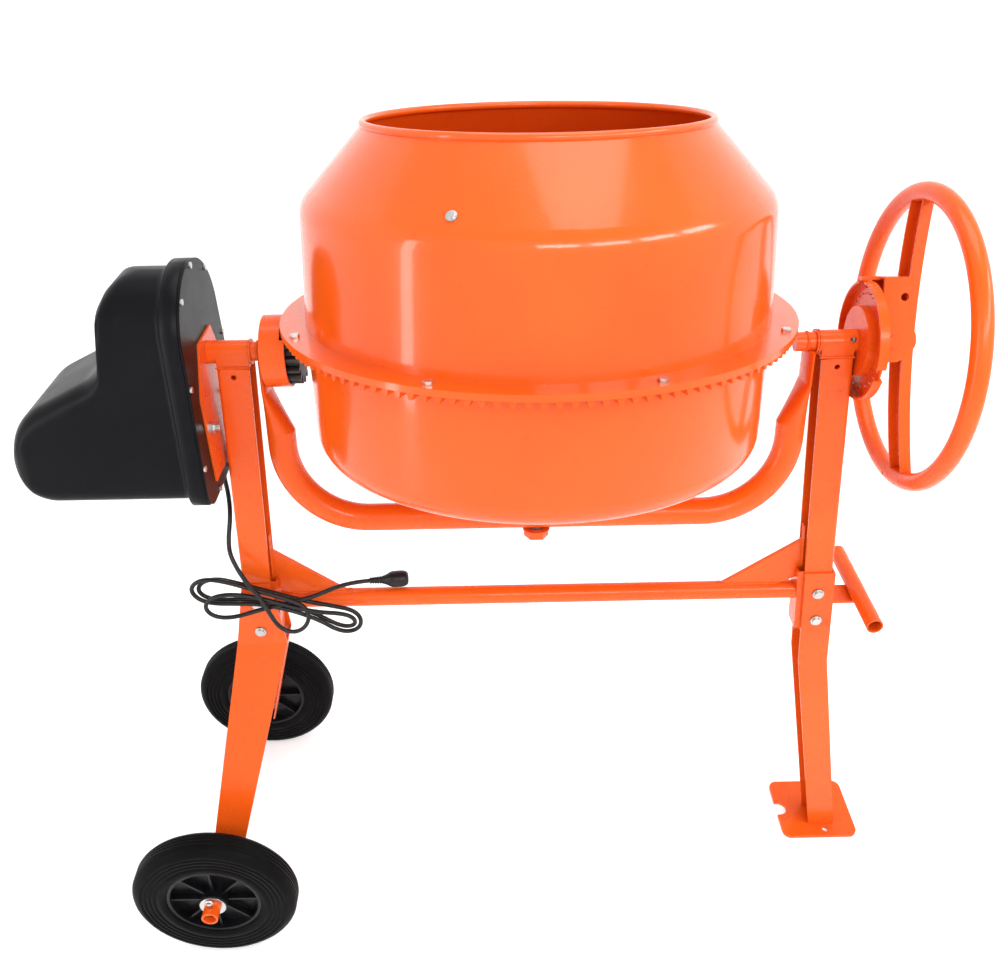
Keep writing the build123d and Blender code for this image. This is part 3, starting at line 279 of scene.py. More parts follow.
@dataclass(frozen=True)
class Finish:
    """One finish of the mixer and how it is made."""

    name: str
    colour: tuple[float, float, float]
    dull: tuple[float, float, float]
    grain: Grain
    roughness: float
    metallic: float = 0.0
    coat: float = 0.0
    edge: float = 1.2 * MM
    shine: float = 0.5

    def height(self, shader: Shader) -> tuple[Wire, float]:
        """The fine relief of this finish.

        Args:
            shader: the material being made.

        Returns:
            The height and its depth in metres.
        """
        if self.grain is Grain.PEEL:
            return shader.noise(260, 1.5) * 0.8 + shader.noise(40, 1.0) * 0.6, 0.16 * MM
        if self.grain is Grain.MOULDED:
            return shader.noise(1900, 2.0), 0.09 * MM
        if self.grain is Grain.CAST:
            return shader.noise(620, 4.0) + shader.noise(150, 2.0), 0.45 * MM
        if self.grain is Grain.BRUSHED:
            stretch = shader.add("ShaderNodeMapping", {}, {"Vector": shader.place,
                                                           "Scale": (1.0, 1.0, 14.0)})
            return shader.noise(260, 3.0, stretch), 0.05 * MM
        return shader.noise(900, 3.0), 0.16 * MM

    def make(self) -> bpy.types.Material:
        """Builds the material.

        Returns:
            The finished material.
        """
        shader = Shader(self.name)
        cloud = shader.ramp(shader.noise(5.0, 4.0), 0.35, 0.75)
        specks = shader.ramp(shader.noise(95.0, 6.0), 0.63, 0.72)
        colour = shader.mix(cloud, rgba(*self.colour), rgba(*self.dull))
        speck = tuple(0.6 * part for part in self.dull)
        colour = shader.mix(specks * 0.35, colour, rgba(*speck))
        shader.wear("Base Color", colour)
        smudge = shader.noise(22.0, 5.0)
        shader.wear("Roughness", smudge * 0.16 + specks * 0.08 + (self.roughness - 0.08))
        shader.wear("Metallic", self.metallic)
        shader.wear("Specular IOR Level", self.shine)
        shader.wear("Coat Weight", self.coat)
        shader.wear("Coat Roughness", 0.08)
        height, depth = self.height(shader)
        shader.relief(height, depth, self.edge)
        return shader.material


FINISHES = {
    "orange paint": Finish("orange_enamel", (0.77, 0.098, 0.007), (0.68, 0.078, 0.005),
                           Grain.PEEL, 0.27, coat=0.12, edge=1.6 * MM, shine=0.22),
    "drum paint": Finish("drum_enamel", (0.76, 0.094, 0.006), (0.68, 0.076, 0.005),
                         Grain.PEEL, 0.2, coat=0.35, edge=1.5 * MM, shine=0.2),
    "zinc": Finish("zinc_plate", (0.62, 0.62, 0.60), (0.45, 0.45, 0.44), Grain.BRUSHED, 0.3, 1.0),
    "steel": Finish("bright_steel", (0.24, 0.24, 0.25), (0.16, 0.16, 0.17), Grain.BRUSHED, 0.35,
                    1.0),
    "cast iron": Finish("greased_iron", (0.055, 0.05, 0.047), (0.03, 0.028, 0.026), Grain.CAST,
                        0.42, 0.75, edge=1.2 * MM),
    "black plastic": Finish("black_housing", (0.0026, 0.0026, 0.0038), (0.0042, 0.0042, 0.0054),
                            Grain.MOULDED, 0.32, edge=2.4 * MM, shine=0.1),
    "hub plastic": Finish("hub_nylon", (0.0042, 0.0042, 0.005), (0.007, 0.007, 0.008),
                          Grain.MOULDED, 0.32, edge=1.2 * MM, shine=0.2),
    "rubber": Finish("cord_rubber", (0.005, 0.005, 0.0055), (0.008, 0.008, 0.008), Grain.RUBBER,
                     0.34, edge=0.8 * MM, shine=0.3),
    "tyre": Finish("tyre_rubber", (0.0024, 0.0024, 0.0028), (0.005, 0.0048, 0.0046), Grain.RUBBER,
                   0.45, edge=1.2 * MM, shine=0.04),
    "green plastic": Finish("start_green", (0.02, 0.33, 0.06), (0.02, 0.27, 0.05), Grain.MOULDED,
                            0.25, coat=0.4),
    "red plastic": Finish("stop_red", (0.6, 0.012, 0.01), (0.5, 0.01, 0.01), Grain.MOULDED, 0.25,
                          coat=0.4),
    "aluminium": Finish("cast_aluminium", (0.52, 0.53, 0.55), (0.4, 0.41, 0.42), Grain.CAST, 0.4,
                        1.0),
}


class Paintbox:
    """Makes each finish once and puts it on the nodes and pieces."""

    def __init__(self) -> None:
        """Makes every finish."""
        self.materials = {name: finish.make() for name, finish in FINISHES.items()}

    def dress(self, piece: bpy.types.Object, slot: str) -> None:
        """Gives a piece one finish over its whole surface."""
        piece.data.materials.clear()
        piece.data.materials.append(self.materials[slot])

    def dress_frame(self, frame: dict) -> None:
        """Gives every CAD node the finish of its slot.
        """
        for part in frame["record"]["subparts"]:
            self.dress(frame["nodes"][part["node"]], part["material_slot"])


# ---- places ----------------------------------------------------------------------------------


@dataclass(frozen=True)
class Layout:
    """Where the mixer's own frames lie in the model."""

    origin: Vector

    def point(self, x: float, y: float, z: float) -> Vector:
        """A point given in millimetres from the floor under the tilt axis."""
        return self.origin + Vector((x, y, z)) * MM

    def cradle(self) -> Matrix:
        """The frame that leans with the drum, centred on the tilt axis."""
        place = Matrix.Translation(self.point(0, 0, TILT_HEIGHT / MM))
        return place @ Matrix.Rotation(-DRUM_LEAN, 4, "X")


def new_piece(name: str, mesh: bmesh.types.BMesh, smooth: bool = True) -> bpy.types.Object:
    """Turns a bmesh into an object.

    Args:
        name: the piece's name.
        mesh: the geometry, which is freed.
        smooth: whether faces are shaded smooth.

    Returns:
        The new object at the origin.
    """
    bmesh.ops.recalc_face_normals(mesh, faces=mesh.faces)
    data = bpy.data.meshes.new(name)
    mesh.to_mesh(data)
    mesh.free()
    for face in data.polygons:
        face.use_smooth = smooth
    piece = bpy.data.objects.new(name, data)
    bpy.context.scene.collection.objects.link(piece)
    return piece


def lathe(name: str, outline: list[tuple[float, float]], place: Matrix, steps: int = 96,
          closed: bool = True) -> bpy.types.Object:
    """Turns an outline of (radius, height) points in millimetres about Z.

    Args:
        name: the piece's name.
        outline: the points, in order.
        place: the frame that it is turned in.
        steps: how many steps make the circle.
        closed: whether the last point joins the first.

    Returns:
        The turned piece.
    """
    mesh = bmesh.new()
    rings = []
    for radius, height in outline:
        if radius < 1e-6:
            rings.append([mesh.verts.new(place @ Vector((0, 0, height * MM)))] * steps)
            continue
        rings.append([mesh.verts.new(place @ Vector((radius * MM * math.cos(t), radius * MM
                                                     * math.sin(t), height * MM)))
                      for t in (2 * math.pi * i / steps for i in range(steps))])
    pairs = list(zip(rings, rings[1:])) + ([(rings[-1], rings[0])] if closed else [])
    for low, high in pairs:
        for i in range(steps):
            j = (i + 1) % steps
            corners = list(dict.fromkeys((low[i], low[j], high[j], high[i])))
            if len(corners) > 2:
                mesh.faces.new(corners)
    return new_piece(name, mesh)


# ---- cord ------------------------------------------------------------------------------------


@dataclass
class Cord:
    """The mains lead: down past the left stand, through its hank and along to its plug."""

    layout: Layout
    paint: Paintbox
    length: float = 1.8
    lead: list = field(default_factory=lambda: [
        (-446, 40, 750), (-446, 38, 728), (-440, 24, 704), (-436, 2, 683), (-440, -20, 650),
        (-435, -35, 633), (-416, -48, 598), (-398, -51, 572), (-387, -51, 534),
        (-377, -51, 515), (-361, -51, 506), (-343, -51, 513), (-333, -48, 531)])
    hank: list = field(default_factory=lambda: [
        (-338, -43, 549), (-362, -43, 563), (-392, -43, 575), (-425, -43, 589), (-452, -43, 599),
        (-474, -43, 603), (-492, -42.5, 597), (-501, -42, 582), (-492, -42, 565),
        (-472, -42, 557), (-442, -42, 556), (-408, -42, 555), (-375, -42, 547),
        (-345, -42, 535), (-317, -42, 519), (-298, -42, 503), (-279, -41.5, 497),
        (-262, -40, 504), (-259, -37.5, 521), (-272, -35, 535),
        (-302, -34, 542), (-342, -34, 553), (-374, -34, 565), (-408, -34, 578),
        (-438, -34, 590), (-462, -34, 597), (-484, -34, 592), (-494, -34, 577),
        (-484, -34, 562), (-460, -34, 557), (-430, -34, 558), (-398, -34, 555),
        (-366, -34, 546), (-338, -34, 534), (-314, -34.5, 519), (-298, -35.5, 508),
        (-281, -36.5, 503), (-268, -40, 511), (-269, -44, 527), (-285, -46, 537),
        (-318, -46, 540), (-348, -45, 547), (-378, -44, 558), (-408, -45, 570),
        (-435, -48, 578), (-457, -49, 578), (-474, -49, 571), (-483, -49, 557),
        (-477, -49, 542), (-460, -49, 535), (-436, -48, 537), (-405, -45, 546),
        (-377, -43, 552)])
    tail: list = field(default_factory=lambda: [
        (-352, -38, 555), (-322, -32, 560), (-296, -18, 564), (-270, -2, 560), (-247, 3, 558.5)])

    def points(self) -> list[Vector]:
        """Every control point of the route in metres."""
        return [self.layout.point(*p) for p in self.lead + self.hank + self.tail]

    def build(self) -> None:
        """Makes the lead, its strain relief and its plug."""
        curve = bpy.data.curves.new("mains_lead", "CURVE")
        curve.dimensions = "3D"
        curve.bevel_depth = CORD_DIAMETER / 2
        curve.bevel_resolution = 5
        curve.resolution_u = 8
        curve.use_fill_caps = True
        spline = curve.splines.new("NURBS")
        points = self.points()
        spline.points.add(len(points) - 1)
        for knot, point in zip(spline.points, points):
            knot.co = (*point, 1.0)
        spline.order_u = 3
        spline.use_endpoint_u = True
        lead = bpy.data.objects.new("mains_lead", curve)
        bpy.context.scene.collection.objects.link(lead)
        self.paint.dress(lead, "rubber")
        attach(lead, "frame")
        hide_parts("power_cord", "cord_hank")
        relief = self.strain_relief(points[0], points[1])
        plug = self.plug(points[-1], points[-1] - points[-2])
        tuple(points[0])
        LOG.info("cord with %d points", len(points))

    def strain_relief(self, start: Vector, after: Vector) -> bpy.types.Object:
        """A ribbed taper where the lead leaves its gland.

        Args:
            start: the exit.
            after: the next point of the route.

        Returns:
            The taper.
        """
        turn = (after - start).to_track_quat("Z", "Y")
        place = Matrix.Translation(start) @ turn.to_matrix().to_4x4()
        bore, root, taper, pitch, ribs, end = 3.3, 6.5, 0.45, 4, 6, 26
        outline = [(bore, 0), (root, 0)]
        for i in range(ribs):
            radius = root - taper * i
            foot = pitch * i
            outline += [(radius, foot + 2.4), (radius - 1, foot + 2.8), (radius - 1, foot + 3.6)]
        outline += [(3.9, end), (bore, end)]
        relief = lathe("strain_relief", outline, place, 32)
        self.paint.dress(relief, "rubber")
        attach(relief, "frame")
        return relief

    def plug(self, start: Vector, along: Vector) -> bpy.types.Object:
        """The moulded plug with its ribbed neck.

        Args:
            start: where the cord enters it.
            along: the direction that it points; not used.

        Returns:
            The plug.
        """
        low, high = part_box("plug")
        length = (high.x - start.x) / MM - 0.5
        middle = (low.y + high.y) / 2 + 2 * MM
        way = Vector((high.x - start.x, middle - start.y, 0))
        place = Matrix.Translation(start) @ way.to_track_quat("Z", "Y").to_matrix().to_4x4()
        ribs, pitch, flare = 5, 3.6, 0.25
        outline = [(0, 0), (4.6, 0)]
        for i in range(ribs):
            foot = pitch * i
            wider = flare * i
            outline += [(4.8 + wider, foot + 2.3), (4.0 + wider, foot + 2.8),
                        (4.0 + wider, foot + 3.4), (4.9 + wider, foot + 3.6)]
        outline += [(6.6, 21), (8.6, 26), (11.0, 30), (12.2, 34), (12.4, 40), (12.4, length - 11),
                    (12.0, length - 7), (10.5, length - 3), (8.0, length - 0.8), (4, length - 0.1),
                    (0, length)]
        piece = lathe("mains_plug", outline, place, 48, closed=False)
        self.paint.dress(piece, "rubber")
        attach(piece, "frame")
        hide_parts("plug")
        return piece


# ---- repeated details --------------------------------------------------------------------------


class Repeats:
    """Copies of a small rounded pip along a path: weld ripples and pressed marks."""

    SIZES = (("Pitch", "NodeSocketFloat"), ("Length", "NodeSocketFloat"),
             ("Width", "NodeSocketFloat"), ("Height", "NodeSocketFloat"),
             ("Variation", "NodeSocketFloat"), ("Seed", "NodeSocketInt"),
             ("Finish", "NodeSocketMaterial"))

    def __init__(self, paint: Paintbox) -> None:
        """Builds the node tree.

        Args:
            paint: the finishes.
        """
        self.paint = paint
        self.tree = bpy.data.node_groups.new("pips_along_path", "GeometryNodeTree")
        face = self.tree.interface
        face.new_socket("Path", in_out="INPUT", socket_type="NodeSocketGeometry")
        self.keys = {name: face.new_socket(name, in_out="INPUT", socket_type=kind).identifier
                     for name, kind in self.SIZES}
        face.new_socket("Pips", in_out="OUTPUT", socket_type="NodeSocketGeometry")
        given = self.tree.nodes.new("NodeGroupInput").outputs
        path = self.node("GeometryNodeMeshToCurve", {}, {"Mesh": given["Path"]})
        path = self.node("GeometryNodeResampleCurve", {"mode": "LENGTH"},
                         {"Curve": path, "Length": given["Pitch"]})
        along = self.node("GeometryNodeInputTangent", {}, {})
        turn = self.node("FunctionNodeAlignRotationToVector", {"axis": "X"}, {"Vector": along})
        size = self.node("ShaderNodeCombineXYZ", {}, {"X": given["Length"], "Y": given["Width"],
                                                      "Z": given["Height"]})
        spread = {0: 1.0, 1: given["Variation"]}
        low = self.node("ShaderNodeMath", {"operation": "SUBTRACT"}, spread)
        high = self.node("ShaderNodeMath", {"operation": "ADD"}, spread)
        chance = self.node("FunctionNodeRandomValue", {"data_type": "FLOAT"},
                           {2: low, 3: high, "Seed": given["Seed"]}, 1)
        size = self.node("ShaderNodeVectorMath", {"operation": "SCALE"},
                         {0: size, "Scale": chance})
        pip = self.node("GeometryNodeMeshIcoSphere", {}, {"Radius": 1.0, "Subdivisions": 2})
        pips = self.node("GeometryNodeInstanceOnPoints", {},
                         {"Points": path, "Instance": pip, "Rotation": turn, "Scale": size})
        pips = self.node("GeometryNodeRealizeInstances", {}, {"Geometry": pips})
        pips = self.node("GeometryNodeSetShadeSmooth", {}, {"Geometry": pips})
        pips = self.node("GeometryNodeSetMaterial", {}, {"Geometry": pips,
                                                         "Material": given["Finish"]})
        self.tree.links.new(pips, self.tree.nodes.new("NodeGroupOutput").inputs[0])

    def node(self, kind: str, settings: dict, values: dict,
             output: int = 0) -> bpy.types.NodeSocket:
        """Adds a node to the tree.

        Args:
            kind: the node's type.
            settings: its properties.
            values: numbers or sockets for its inputs.
            output: the output to return.

        Returns:
            The wanted output.
        """
        node = self.tree.nodes.new(kind)
        for key, value in settings.items():
            setattr(node, key, value)
        for key, value in values.items():
            if isinstance(value, bpy.types.NodeSocket):
                self.tree.links.new(value, node.inputs[key])
            else:
                node.inputs[key].default_value = value
        return node.outputs[output]

    def along(self, name: str, paths: list[list[Vector]], sizes: tuple[float, float, float, float],
              slot: str, body: str, variation: float = 0.12) -> bpy.types.Object:
        """Makes the pips of one body.

        Args:
            name: the piece's name.
            paths: lists of points in metres.
            sizes: pitch, length, width and height of a pip in millimetres.
            slot: the record's material slot.
            body: the body that it rides on.
            variation: how much the pips differ in size.

        Returns:
            The finished piece.
        """
        mesh = bmesh.new()
        for path in paths:
            knots = [mesh.verts.new(point) for point in path]
            for before, after in zip(knots, knots[1:]):
                mesh.edges.new((before, after))
        source = new_piece(name + "_path", mesh)
        modifier = source.modifiers.new("pips", "NODES")
        modifier.node_group = self.tree
        pitch, length, width, height = (size * MM for size in sizes)
        values = {"Pitch": pitch, "Length": length, "Width": width, "Height": height,
                  "Variation": variation, "Seed": 7, "Finish": self.paint.materials[slot]}
        for key, value in values.items():
            modifier[self.keys[key]] = value
        piece = baked(name, source)
        self.paint.dress(piece, slot)
        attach(piece, body)
        return piece


def baked(name: str, source: bpy.types.Object) -> bpy.types.Object:
    """Turns an object with modifiers into a plain one, and removes the first.

    Args:
        name: the new object's name.
        source: the object with its modifiers.

    Returns:
        The plain object at the origin.
    """
    graph = bpy.context.evaluated_depsgraph_get()
    data = bpy.data.meshes.new_from_object(source.evaluated_get(graph), depsgraph=graph)
    data.name = name
    bpy.data.objects.remove(source)
    piece = bpy.data.objects.new(name, data)
    bpy.context.scene.collection.objects.link(piece)
    return piece


def ring(place: Matrix, radius: float, height: float, start: float = 0, end: float = 360,
         steps: int = 48) -> list[Vector]:
    """Points on an arc about a frame's Z axis.

    Args:
        place: the frame.
        radius: in millimetres.
        height: along Z in millimetres.
        start: first angle in degrees.
        end: last angle in degrees.
        steps: how many steps.

    Returns:
        The points in metres.
    """
    angles = [math.radians(start + (end - start) * i / steps) for i in range(steps + 1)]
    return [place @ (Vector((radius * math.cos(a), radius * math.sin(a), height)) * MM)
            for a in angles]


@dataclass
class Welds:
    """The weld beads of the frame and the yoke, in millimetres."""

    layout: Layout
    repeats: Repeats
    bead: tuple[float, float, float, float] = (1.5, 2.0, 1.9, 1.9)
    tube_r: float = 14.0
    tube_z: float = 530.0
    saddle_z: float = 924.0
    yoke_w: float = -243.0
    yoke_r: float = 19.0
    housing_r: float = 31.0
    trunnion_r: float = 12.5
    pinch_x: tuple[float, float] = (348.5, 358.5)
    gusset_x: tuple[float, float] = (276.0, 364.0)
    gusset_z: tuple[float, float] = (578.0, 648.0)
    left_edge_x: tuple[float, float] = (389.7, 385.5)
    right_edge_x: tuple[float, float] = (398.8, 392.1)
    saddle_x: tuple = ((-411.0, -370.0), (366.0, 408.0))
    saddle_y: float = 15.5

    def frame_paths(self) -> list[list[Vector]]:
        """The beads on the stands and the cross tube."""
        point = self.layout.point
        low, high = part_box("gussets")
        front, back = ((y - self.layout.origin.y) / MM for y in (low.y, high.y))
        paths = []
        for side, edge_x in ((-1, self.left_edge_x), (1, self.right_edge_x)):
            for y in (front, back):
                rise = self.tube_z + math.sqrt(max(self.tube_r ** 2 - y ** 2, 1.0))
                paths.append([point(side * x, y, rise) for x in self.gusset_x])
                paths.append([point(side * x, y, z) for x, z in zip(edge_x, self.gusset_z)])
        for ends in self.saddle_x:
            for y in (-self.saddle_y, self.saddle_y):
                paths.append([point(x, y, self.saddle_z) for x in ends])
        return paths

    def yoke_paths(self) -> list[list[Vector]]:
        """The beads round the bearing housing and the trunnions."""
        cradle = self.layout.cradle()
        reach = math.degrees(math.asin(self.yoke_r / self.housing_r)) - 2
        paths = []
        steps = 24
        for start in (0, 180):
            arc = []
            for i in range(steps + 1):
                a = math.radians(start - reach + 2 * reach * i / steps)
                across = self.housing_r * math.sin(a)
                rise = self.yoke_w + math.sqrt(self.yoke_r ** 2 - across ** 2)
                spot = Vector((self.housing_r * math.cos(a), across, rise)) * MM
                arc.append(cradle @ spot)
            paths.append(arc)
        turn = cradle @ Matrix.Rotation(math.radians(90), 4, "Y")
        for x in (-self.pinch_x[1], -self.pinch_x[0], self.pinch_x[0]):
            paths.append(ring(turn, self.trunnion_r, x, 65, 295))
        return paths

    def build(self) -> None:
        """Makes both bodies' beads."""
        self.repeats.along("frame_welds", self.frame_paths(), self.bead, "orange paint", "frame")
        self.repeats.along("yoke_welds", self.yoke_paths(), self.bead, "orange paint", "yoke")


@dataclass
class Marks:
    """The pressed marks inside the dish of the tilt lock's disc."""

    layout: Layout
    repeats: Repeats
    face_x: float = 424.0
    radius: float = 61.0
    count: int = 30

    def build(self) -> None:
        """Makes the marks on the disc's inner face."""
        place = Matrix.Translation(self.layout.point(0, 0, TILT_HEIGHT / MM))
        place = place @ Matrix.Rotation(math.radians(90), 4, "Y")
        path = ring(place, self.radius, self.face_x, steps=96)
        pitch = 2 * math.pi * self.radius / self.count
        self.repeats.along("disc_marks", [path], (pitch, 0.8, 5.0, 0.7), "zinc", "frame", 0.0)


# ---- drive housing -----------------------------------------------------------------------------


def rounded(points: list[tuple[float, float]], radii: list[float], steps: int = 10) -> list:
    """An open line with its inner corners rounded.

    Args:
        points: the line's points.
        radii: one radius for each inner corner.
        steps: steps in each arc.

    Returns:
        The rounded line's points.
    """
    line = [Vector(points[0])]
    for before, corner, after, radius in zip(points, points[1:], points[2:], radii):
        here = Vector(corner)
        back = (Vector(before) - here).normalized()
        ahead = (Vector(after) - here).normalized()
        half = back.angle(ahead) / 2
        middle = here + (back + ahead).normalized() * radius / math.sin(half)
        start = here + back * radius / math.tan(half) - middle
        end = here + ahead * radius / math.tan(half) - middle
        for i in range(steps + 1):
            way = start.lerp(end, i / steps)
            line.append(middle + way.normalized() * radius)
    line.append(Vector(points[-1]))
    return line


@dataclass
class Housing:
    """The moulded drive housing with its rolled edges and flat rim, in millimetres."""

    layout: Layout
    paint: Paintbox
    hump_z: float = 974.0
    hump_r: float = 78.0
    low_half: float = 95.0
    bottom: float = 768.0
    left: float = -685.0
    back: float = -429.0
    rim_x: float = -452.0
    rim: float = 9.0
    edge: float = 26.0
    low_edge: float = 20.0
    fade_x: float = -496.0
    fade: float = 40.0
    wall: float = 3.0
    rows: int = 26
    stations: int = 44

    def profile(self) -> list:
        """The side view's line, from the rim over the top and round to the bottom of the rim."""
        top = self.hump_z + self.hump_r
        points = [(self.rim_x, top), (-530, top), (-538, 944), (self.left + 18, 880),
                  (self.left, self.bottom), (self.rim_x, self.bottom)]
        return rounded(points, [42, 60, 80, 52])

    def limits(self, line: list, x: float) -> tuple[float, float]:
        """The lowest and highest point of the side view at one place along X."""
        heights = []
        for a, b in zip(line, line[1:]):
            if (a.x - x) * (b.x - x) <= 0 and abs(a.x - b.x) > 1e-6:
                heights.append(a.y + (b.y - a.y) * (x - a.x) / (b.x - a.x))
        return min(heights), max(heights)

    def half(self, z: float, grow: float) -> float:
        """Half the housing's width at a height."""
        if z > self.hump_z:
            return math.sqrt(max((self.hump_r + grow) ** 2 - (z - self.hump_z) ** 2, 0.0))
        slope = (self.low_half - self.hump_r) / (self.hump_z - self.bottom)
        return self.hump_r + grow + slope * (self.hump_z - z)

    def loop(self, x: float, low: float, high: float, grow: float, top_edge: float,
             low_edge: float, pinch: float) -> list[Vector]:
        """One closed section across X.

        Args:
            x: its place.
            low: its lowest height.
            high: its highest height.
            grow: how far it stands outside the plain outline.
            top_edge: radius of its upper edges.
            low_edge: radius of its lower edges.
            pinch: how far its sides are drawn in.

        Returns:
            Its points in metres.
        """
        top_edge = min(top_edge, (high - low) / 2)
        low_edge = min(low_edge, (high - low) / 2)
        side = []
        for i in range(self.rows + 1):
            z = (low + high) / 2 - (high - low) / 2 * math.cos(math.pi * i / self.rows)
            width = self.half(z, grow) - pinch
            for over, radius in ((z - high + top_edge, top_edge), (low + low_edge - z, low_edge)):
                if over > 0:
                    width -= radius - math.sqrt(max(radius ** 2 - over ** 2, 0.0))
            side.append((max(width, 0.4), z))
        points = side + [(-y, z) for y, z in reversed(side)]
        return [self.layout.point(x, y, z) for y, z in points]

    def sections(self) -> list[list[Vector]]:
        """Every section from the far end to the rim's back."""
        line = self.profile()
        end = min(point.x for point in line) + 0.3
        loops = []
        for i in range(self.stations + 1):
            x = end + (self.rim_x - end) * (1 - math.cos(math.pi / 2 * i / self.stations))
            low, high = self.limits(line, min(x, self.rim_x - 0.001))
            near = max(0.0, self.edge - (x - end))
            pinch = self.edge - math.sqrt(self.edge ** 2 - near ** 2)
            fade = min(1.0, max(0.0, (self.fade_x - x) / self.fade))
            loops.append(self.loop(x, low, high, 0, self.edge * fade, self.low_edge, pinch))
        top = self.hump_z + self.hump_r
        for x, grow in ((self.rim_x, self.rim - 2), (self.rim_x + 2, self.rim),
                        (self.back - 1, self.rim), (self.back, self.rim - 1)):
            low_edge = self.low_edge + grow
            loops.append(self.loop(x, self.bottom - grow, top + grow, grow, 0, low_edge, 0))
        return loops

    def build(self) -> None:
        """Makes the cover and puts it in the plain cover's place."""
        mesh = bmesh.new()
        rings = [[mesh.verts.new(point) for point in loop] for loop in self.sections()]
        for low, high in zip(rings, rings[1:]):
            for i in range(len(low)):
                j = (i + 1) % len(low)
                mesh.faces.new((low[i], low[j], high[j], high[i]))
        mesh.faces.new(list(reversed(rings[0])))
        shell = new_piece("housing_shell", mesh)
        thick = shell.modifiers.new("wall", "SOLIDIFY")
        thick.thickness = self.wall * MM
        thick.offset = -1.0
        thick.use_even_offset = False
        cover = baked("housing_cover", shell)
        self.paint.dress(cover, "black plastic")
        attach(cover, "frame")
        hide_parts("motor_cover")


# ---- wheels ------------------------------------------------------------------------------------


@dataclass
class Tyres:
    """The two solid tyres with ringed sidewalls and a grooved tread, in millimetres."""

    layout: Layout
    paint: Paintbox
    axle: tuple[float, float] = (-500.0, 125.0)
    middle: float = 217.0
    outer: float = 125.0
    inner: float = 72.0
    half: float = 22.0

    def outline(self) -> list[tuple[float, float]]:
        """The tyre's section as radius and place across."""
        side = [(self.inner, self.half - 5), (self.inner + 1, self.half - 2.5),
                (self.inner + 4, self.half - 0.6), (self.inner + 8, self.half)]
        for radius in (86, 93, 100, 107):
            side += [(radius, self.half), (radius + 0.8, self.half - 1.2),
                     (radius + 2.2, self.half - 1.2), (radius + 3, self.half)]
        side += [(113, self.half - 0.5), (118, self.half - 2.5), (122, self.half - 6),
                 (124.2, self.half - 9.5), (self.outer, self.half - 12)]
        tread = []
        for across in (9, 3):
            tread += [(self.outer, across + 0.8), (self.outer - 1.5, across + 0.3),
                      (self.outer - 1.5, across - 0.9), (self.outer, across - 1.4)]
        upper = side + tread
        return upper + [(radius, -across) for radius, across in reversed(upper)]

    def build(self) -> None:
        """Makes both tyres in place of the plain ones."""
        x, z = self.axle
        for way, body in ((-1, "front_wheel"), (1, "rear_wheel")):
            place = Matrix.Translation(self.layout.point(x, way * self.middle, z))
            place = place @ Matrix.Rotation(math.radians(90), 4, "X")
            tyre = lathe(body + "_tyre", self.outline(), place, 112)
            self.paint.dress(tyre, "tyre")
            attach(tyre, body)
            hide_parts(body.replace("wheel", "tyre"))


@dataclass
class Nipple:
    """The grease nipple on the right sleeve, in millimetres."""

    layout: Layout
    paint: Paintbox
    x: float = 404.0
    start: float = 14.5

    def build(self) -> None:
        """Makes the nipple on the sleeve's front."""
        place = Matrix.Translation(self.layout.point(self.x, 0, TILT_HEIGHT / MM))
        place = place @ Matrix.Rotation(math.radians(60), 4, "X")
        s = self.start
        outline = [(0, s), (3.6, s), (3.6, s + 2), (2.2, s + 2.4), (2.2, s + 3.6), (3.0, s + 4.4),
                   (2.6, s + 5.8), (1.2, s + 6.6), (0, s + 6.8)]
        nipple = lathe("grease_nipple", outline, place, 24, closed=False)
        self.paint.dress(nipple, "steel")
        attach(nipple, "frame")


# ---- camera and light --------------------------------------------------------------------------


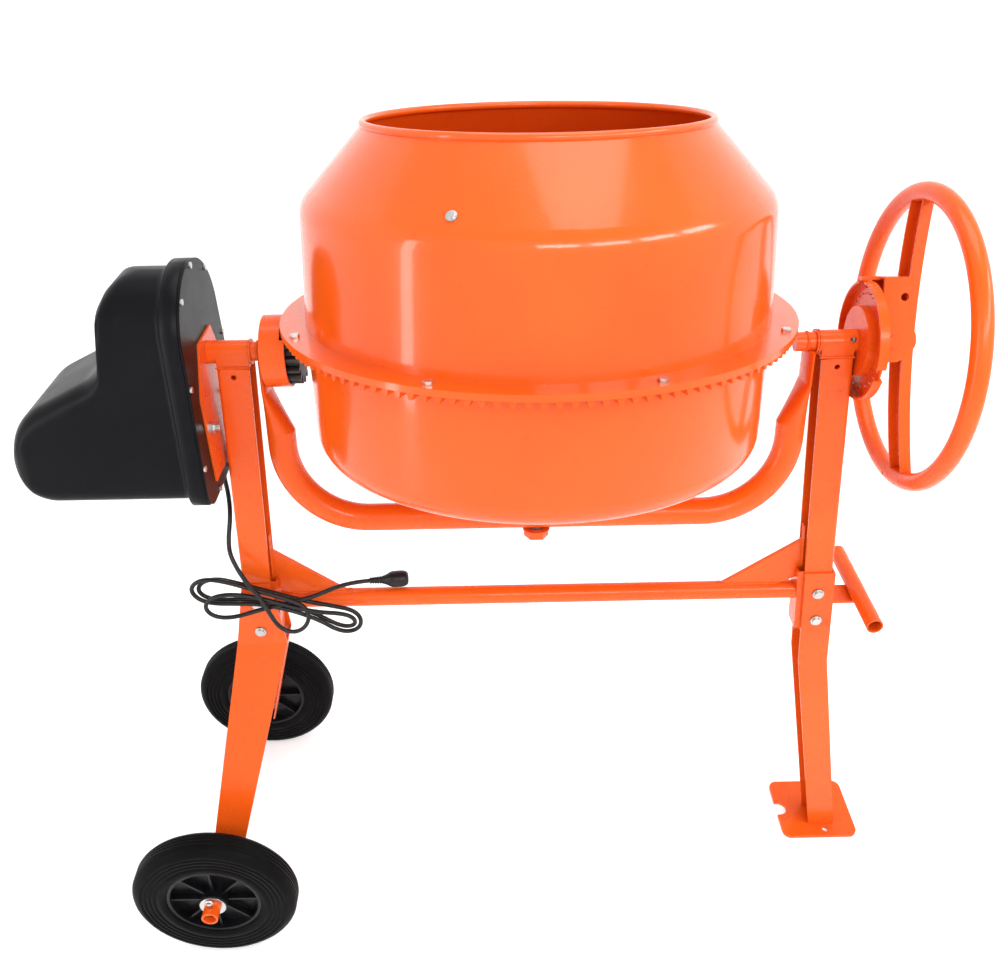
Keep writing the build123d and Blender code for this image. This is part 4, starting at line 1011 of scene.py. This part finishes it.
@dataclass
class Studio:
    """The camera, the floor and the lights."""

    layout: Layout
    eye: tuple[float, float, float] = (-59.7, -1152.0, 1478.3)
    yaw: float = math.radians(0.5)
    pitch: float = math.radians(32.8)
    roll: float = math.radians(-0.79)
    lens: float = 35.17

    def camera(self) -> None:
        """Places the camera."""
        ahead = Vector((math.sin(self.yaw) * math.cos(self.pitch),
                        math.cos(self.yaw) * math.cos(self.pitch), -math.sin(self.pitch)))
        right = Vector((math.cos(self.yaw), -math.sin(self.yaw), 0))
        up = right.cross(ahead)
        level = right * math.cos(self.roll) + up * math.sin(self.roll)
        top = up * math.cos(self.roll) - right * math.sin(self.roll)
        data = bpy.data.cameras.new("view")
        data.sensor_width = 36.0
        data.lens = self.lens
        data.clip_end = 50.0
        camera = bpy.data.objects.new("view", data)
        turn = Matrix((level, top, -ahead)).transposed().to_4x4()
        camera.matrix_world = Matrix.Translation(self.layout.point(*self.eye)) @ turn
        bpy.context.scene.collection.objects.link(camera)
        bpy.context.scene.camera = camera

    def floor(self) -> None:
        """A wide pale floor that curves up into a wall on every side."""
        shader = Shader("studio_floor")
        shader.wear("Base Color", rgba(0.93, 0.93, 0.93))
        shader.wear("Roughness", 0.8)
        shader.wear("Specular IOR Level", 0.0)
        shader.wear("Emission Color", rgba(1, 1, 1))
        shader.wear("Emission Strength", 0.2)
        flat, sweep, top, steps = 4000, 2500, 7000, 12
        outline = [(0, 0), (flat / 2, 0), (flat, 0)]
        for k in range(1, steps + 1):
            turn = math.radians(90 / steps * k)
            outline.append((flat + sweep * math.sin(turn), sweep - sweep * math.cos(turn)))
        outline.append((flat + sweep, top))
        floor = lathe("studio_floor", outline, Matrix.Identity(4), closed=False)
        floor.data.flip_normals()
        floor.data.materials.append(shader.material)
        floor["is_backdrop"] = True

    def softbox(self, name: str, spot: tuple, aim: tuple, size: tuple, power: float) -> None:
        """One rectangular softbox.

        Args:
            name: its name.
            spot: where it hangs, in metres.
            aim: the point that it faces.
            size: width and height in metres.
            power: watts.
        """
        data = bpy.data.lights.new(name, "AREA")
        data.shape = "RECTANGLE"
        data.size, data.size_y = size
        data.energy = power
        lamp = bpy.data.objects.new(name, data)
        lamp.location = spot
        lamp.rotation_euler = (Vector(aim) - Vector(spot)).to_track_quat("-Z", "Y").to_euler()
        bpy.context.scene.collection.objects.link(lamp)

    def lights(self) -> None:
        """White daylight all round, a row of windows to the right and a strip to the left."""
        world = bpy.data.worlds.new("studio")
        world.use_nodes = True
        world.node_tree.nodes["Background"].inputs[0].default_value = rgba(1, 1, 1)
        world.node_tree.nodes["Background"].inputs[1].default_value = 0.8
        bpy.context.scene.world = world
        aim = (0, 0, 0.9)
        windows, first, step, away, height = 4, 8, 24, 2.6, 2.35
        for k in range(windows):
            turn = math.radians(first + step * k)
            spot = (away * math.sin(turn), -away * math.cos(turn), height)
            self.softbox(f"window_{k}", spot, aim, (0.85, 0.42), 17)
        self.softbox("strip", (-2.3, -1.35, 1.1), aim, (0.28, 2.0), 16)
        self.softbox("top", (0.2, 0.3, 3.4), aim, (2.2, 1.4), 36)

    def build(self) -> None:
        """Makes the whole studio."""
        self.camera()
        self.floor()
        self.lights()
        bpy.context.scene.view_settings.view_transform = "Standard"


def corners(box: tuple) -> list[list[float]]:
    """A box as plain lists of numbers."""
    return [list(map(float, corner)) for corner in box]


def main() -> None:
    """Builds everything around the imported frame."""
    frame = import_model()
    before = corners(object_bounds())
    tilt = next(joint for joint in frame["joints"] if joint["name"] == "yoke_tilt")
    layout = Layout(Vector((tilt["pos_m"][0], tilt["pos_m"][1], tilt["pos_m"][2] - TILT_HEIGHT)))
    Studio(layout).build()
    paint = Paintbox()
    paint.dress_frame(frame)
    Cord(layout, paint).build()
    repeats = Repeats(paint)
    Welds(layout, repeats).build()
    Marks(layout, repeats).build()
    Housing(layout, paint).build()
    Tyres(layout, paint).build()
    Nipple(layout, paint).build()
    {"cad": before, "visual": corners(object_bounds())}


if __name__ == "__main__":
    logging.basicConfig(level=logging.INFO)
    main()
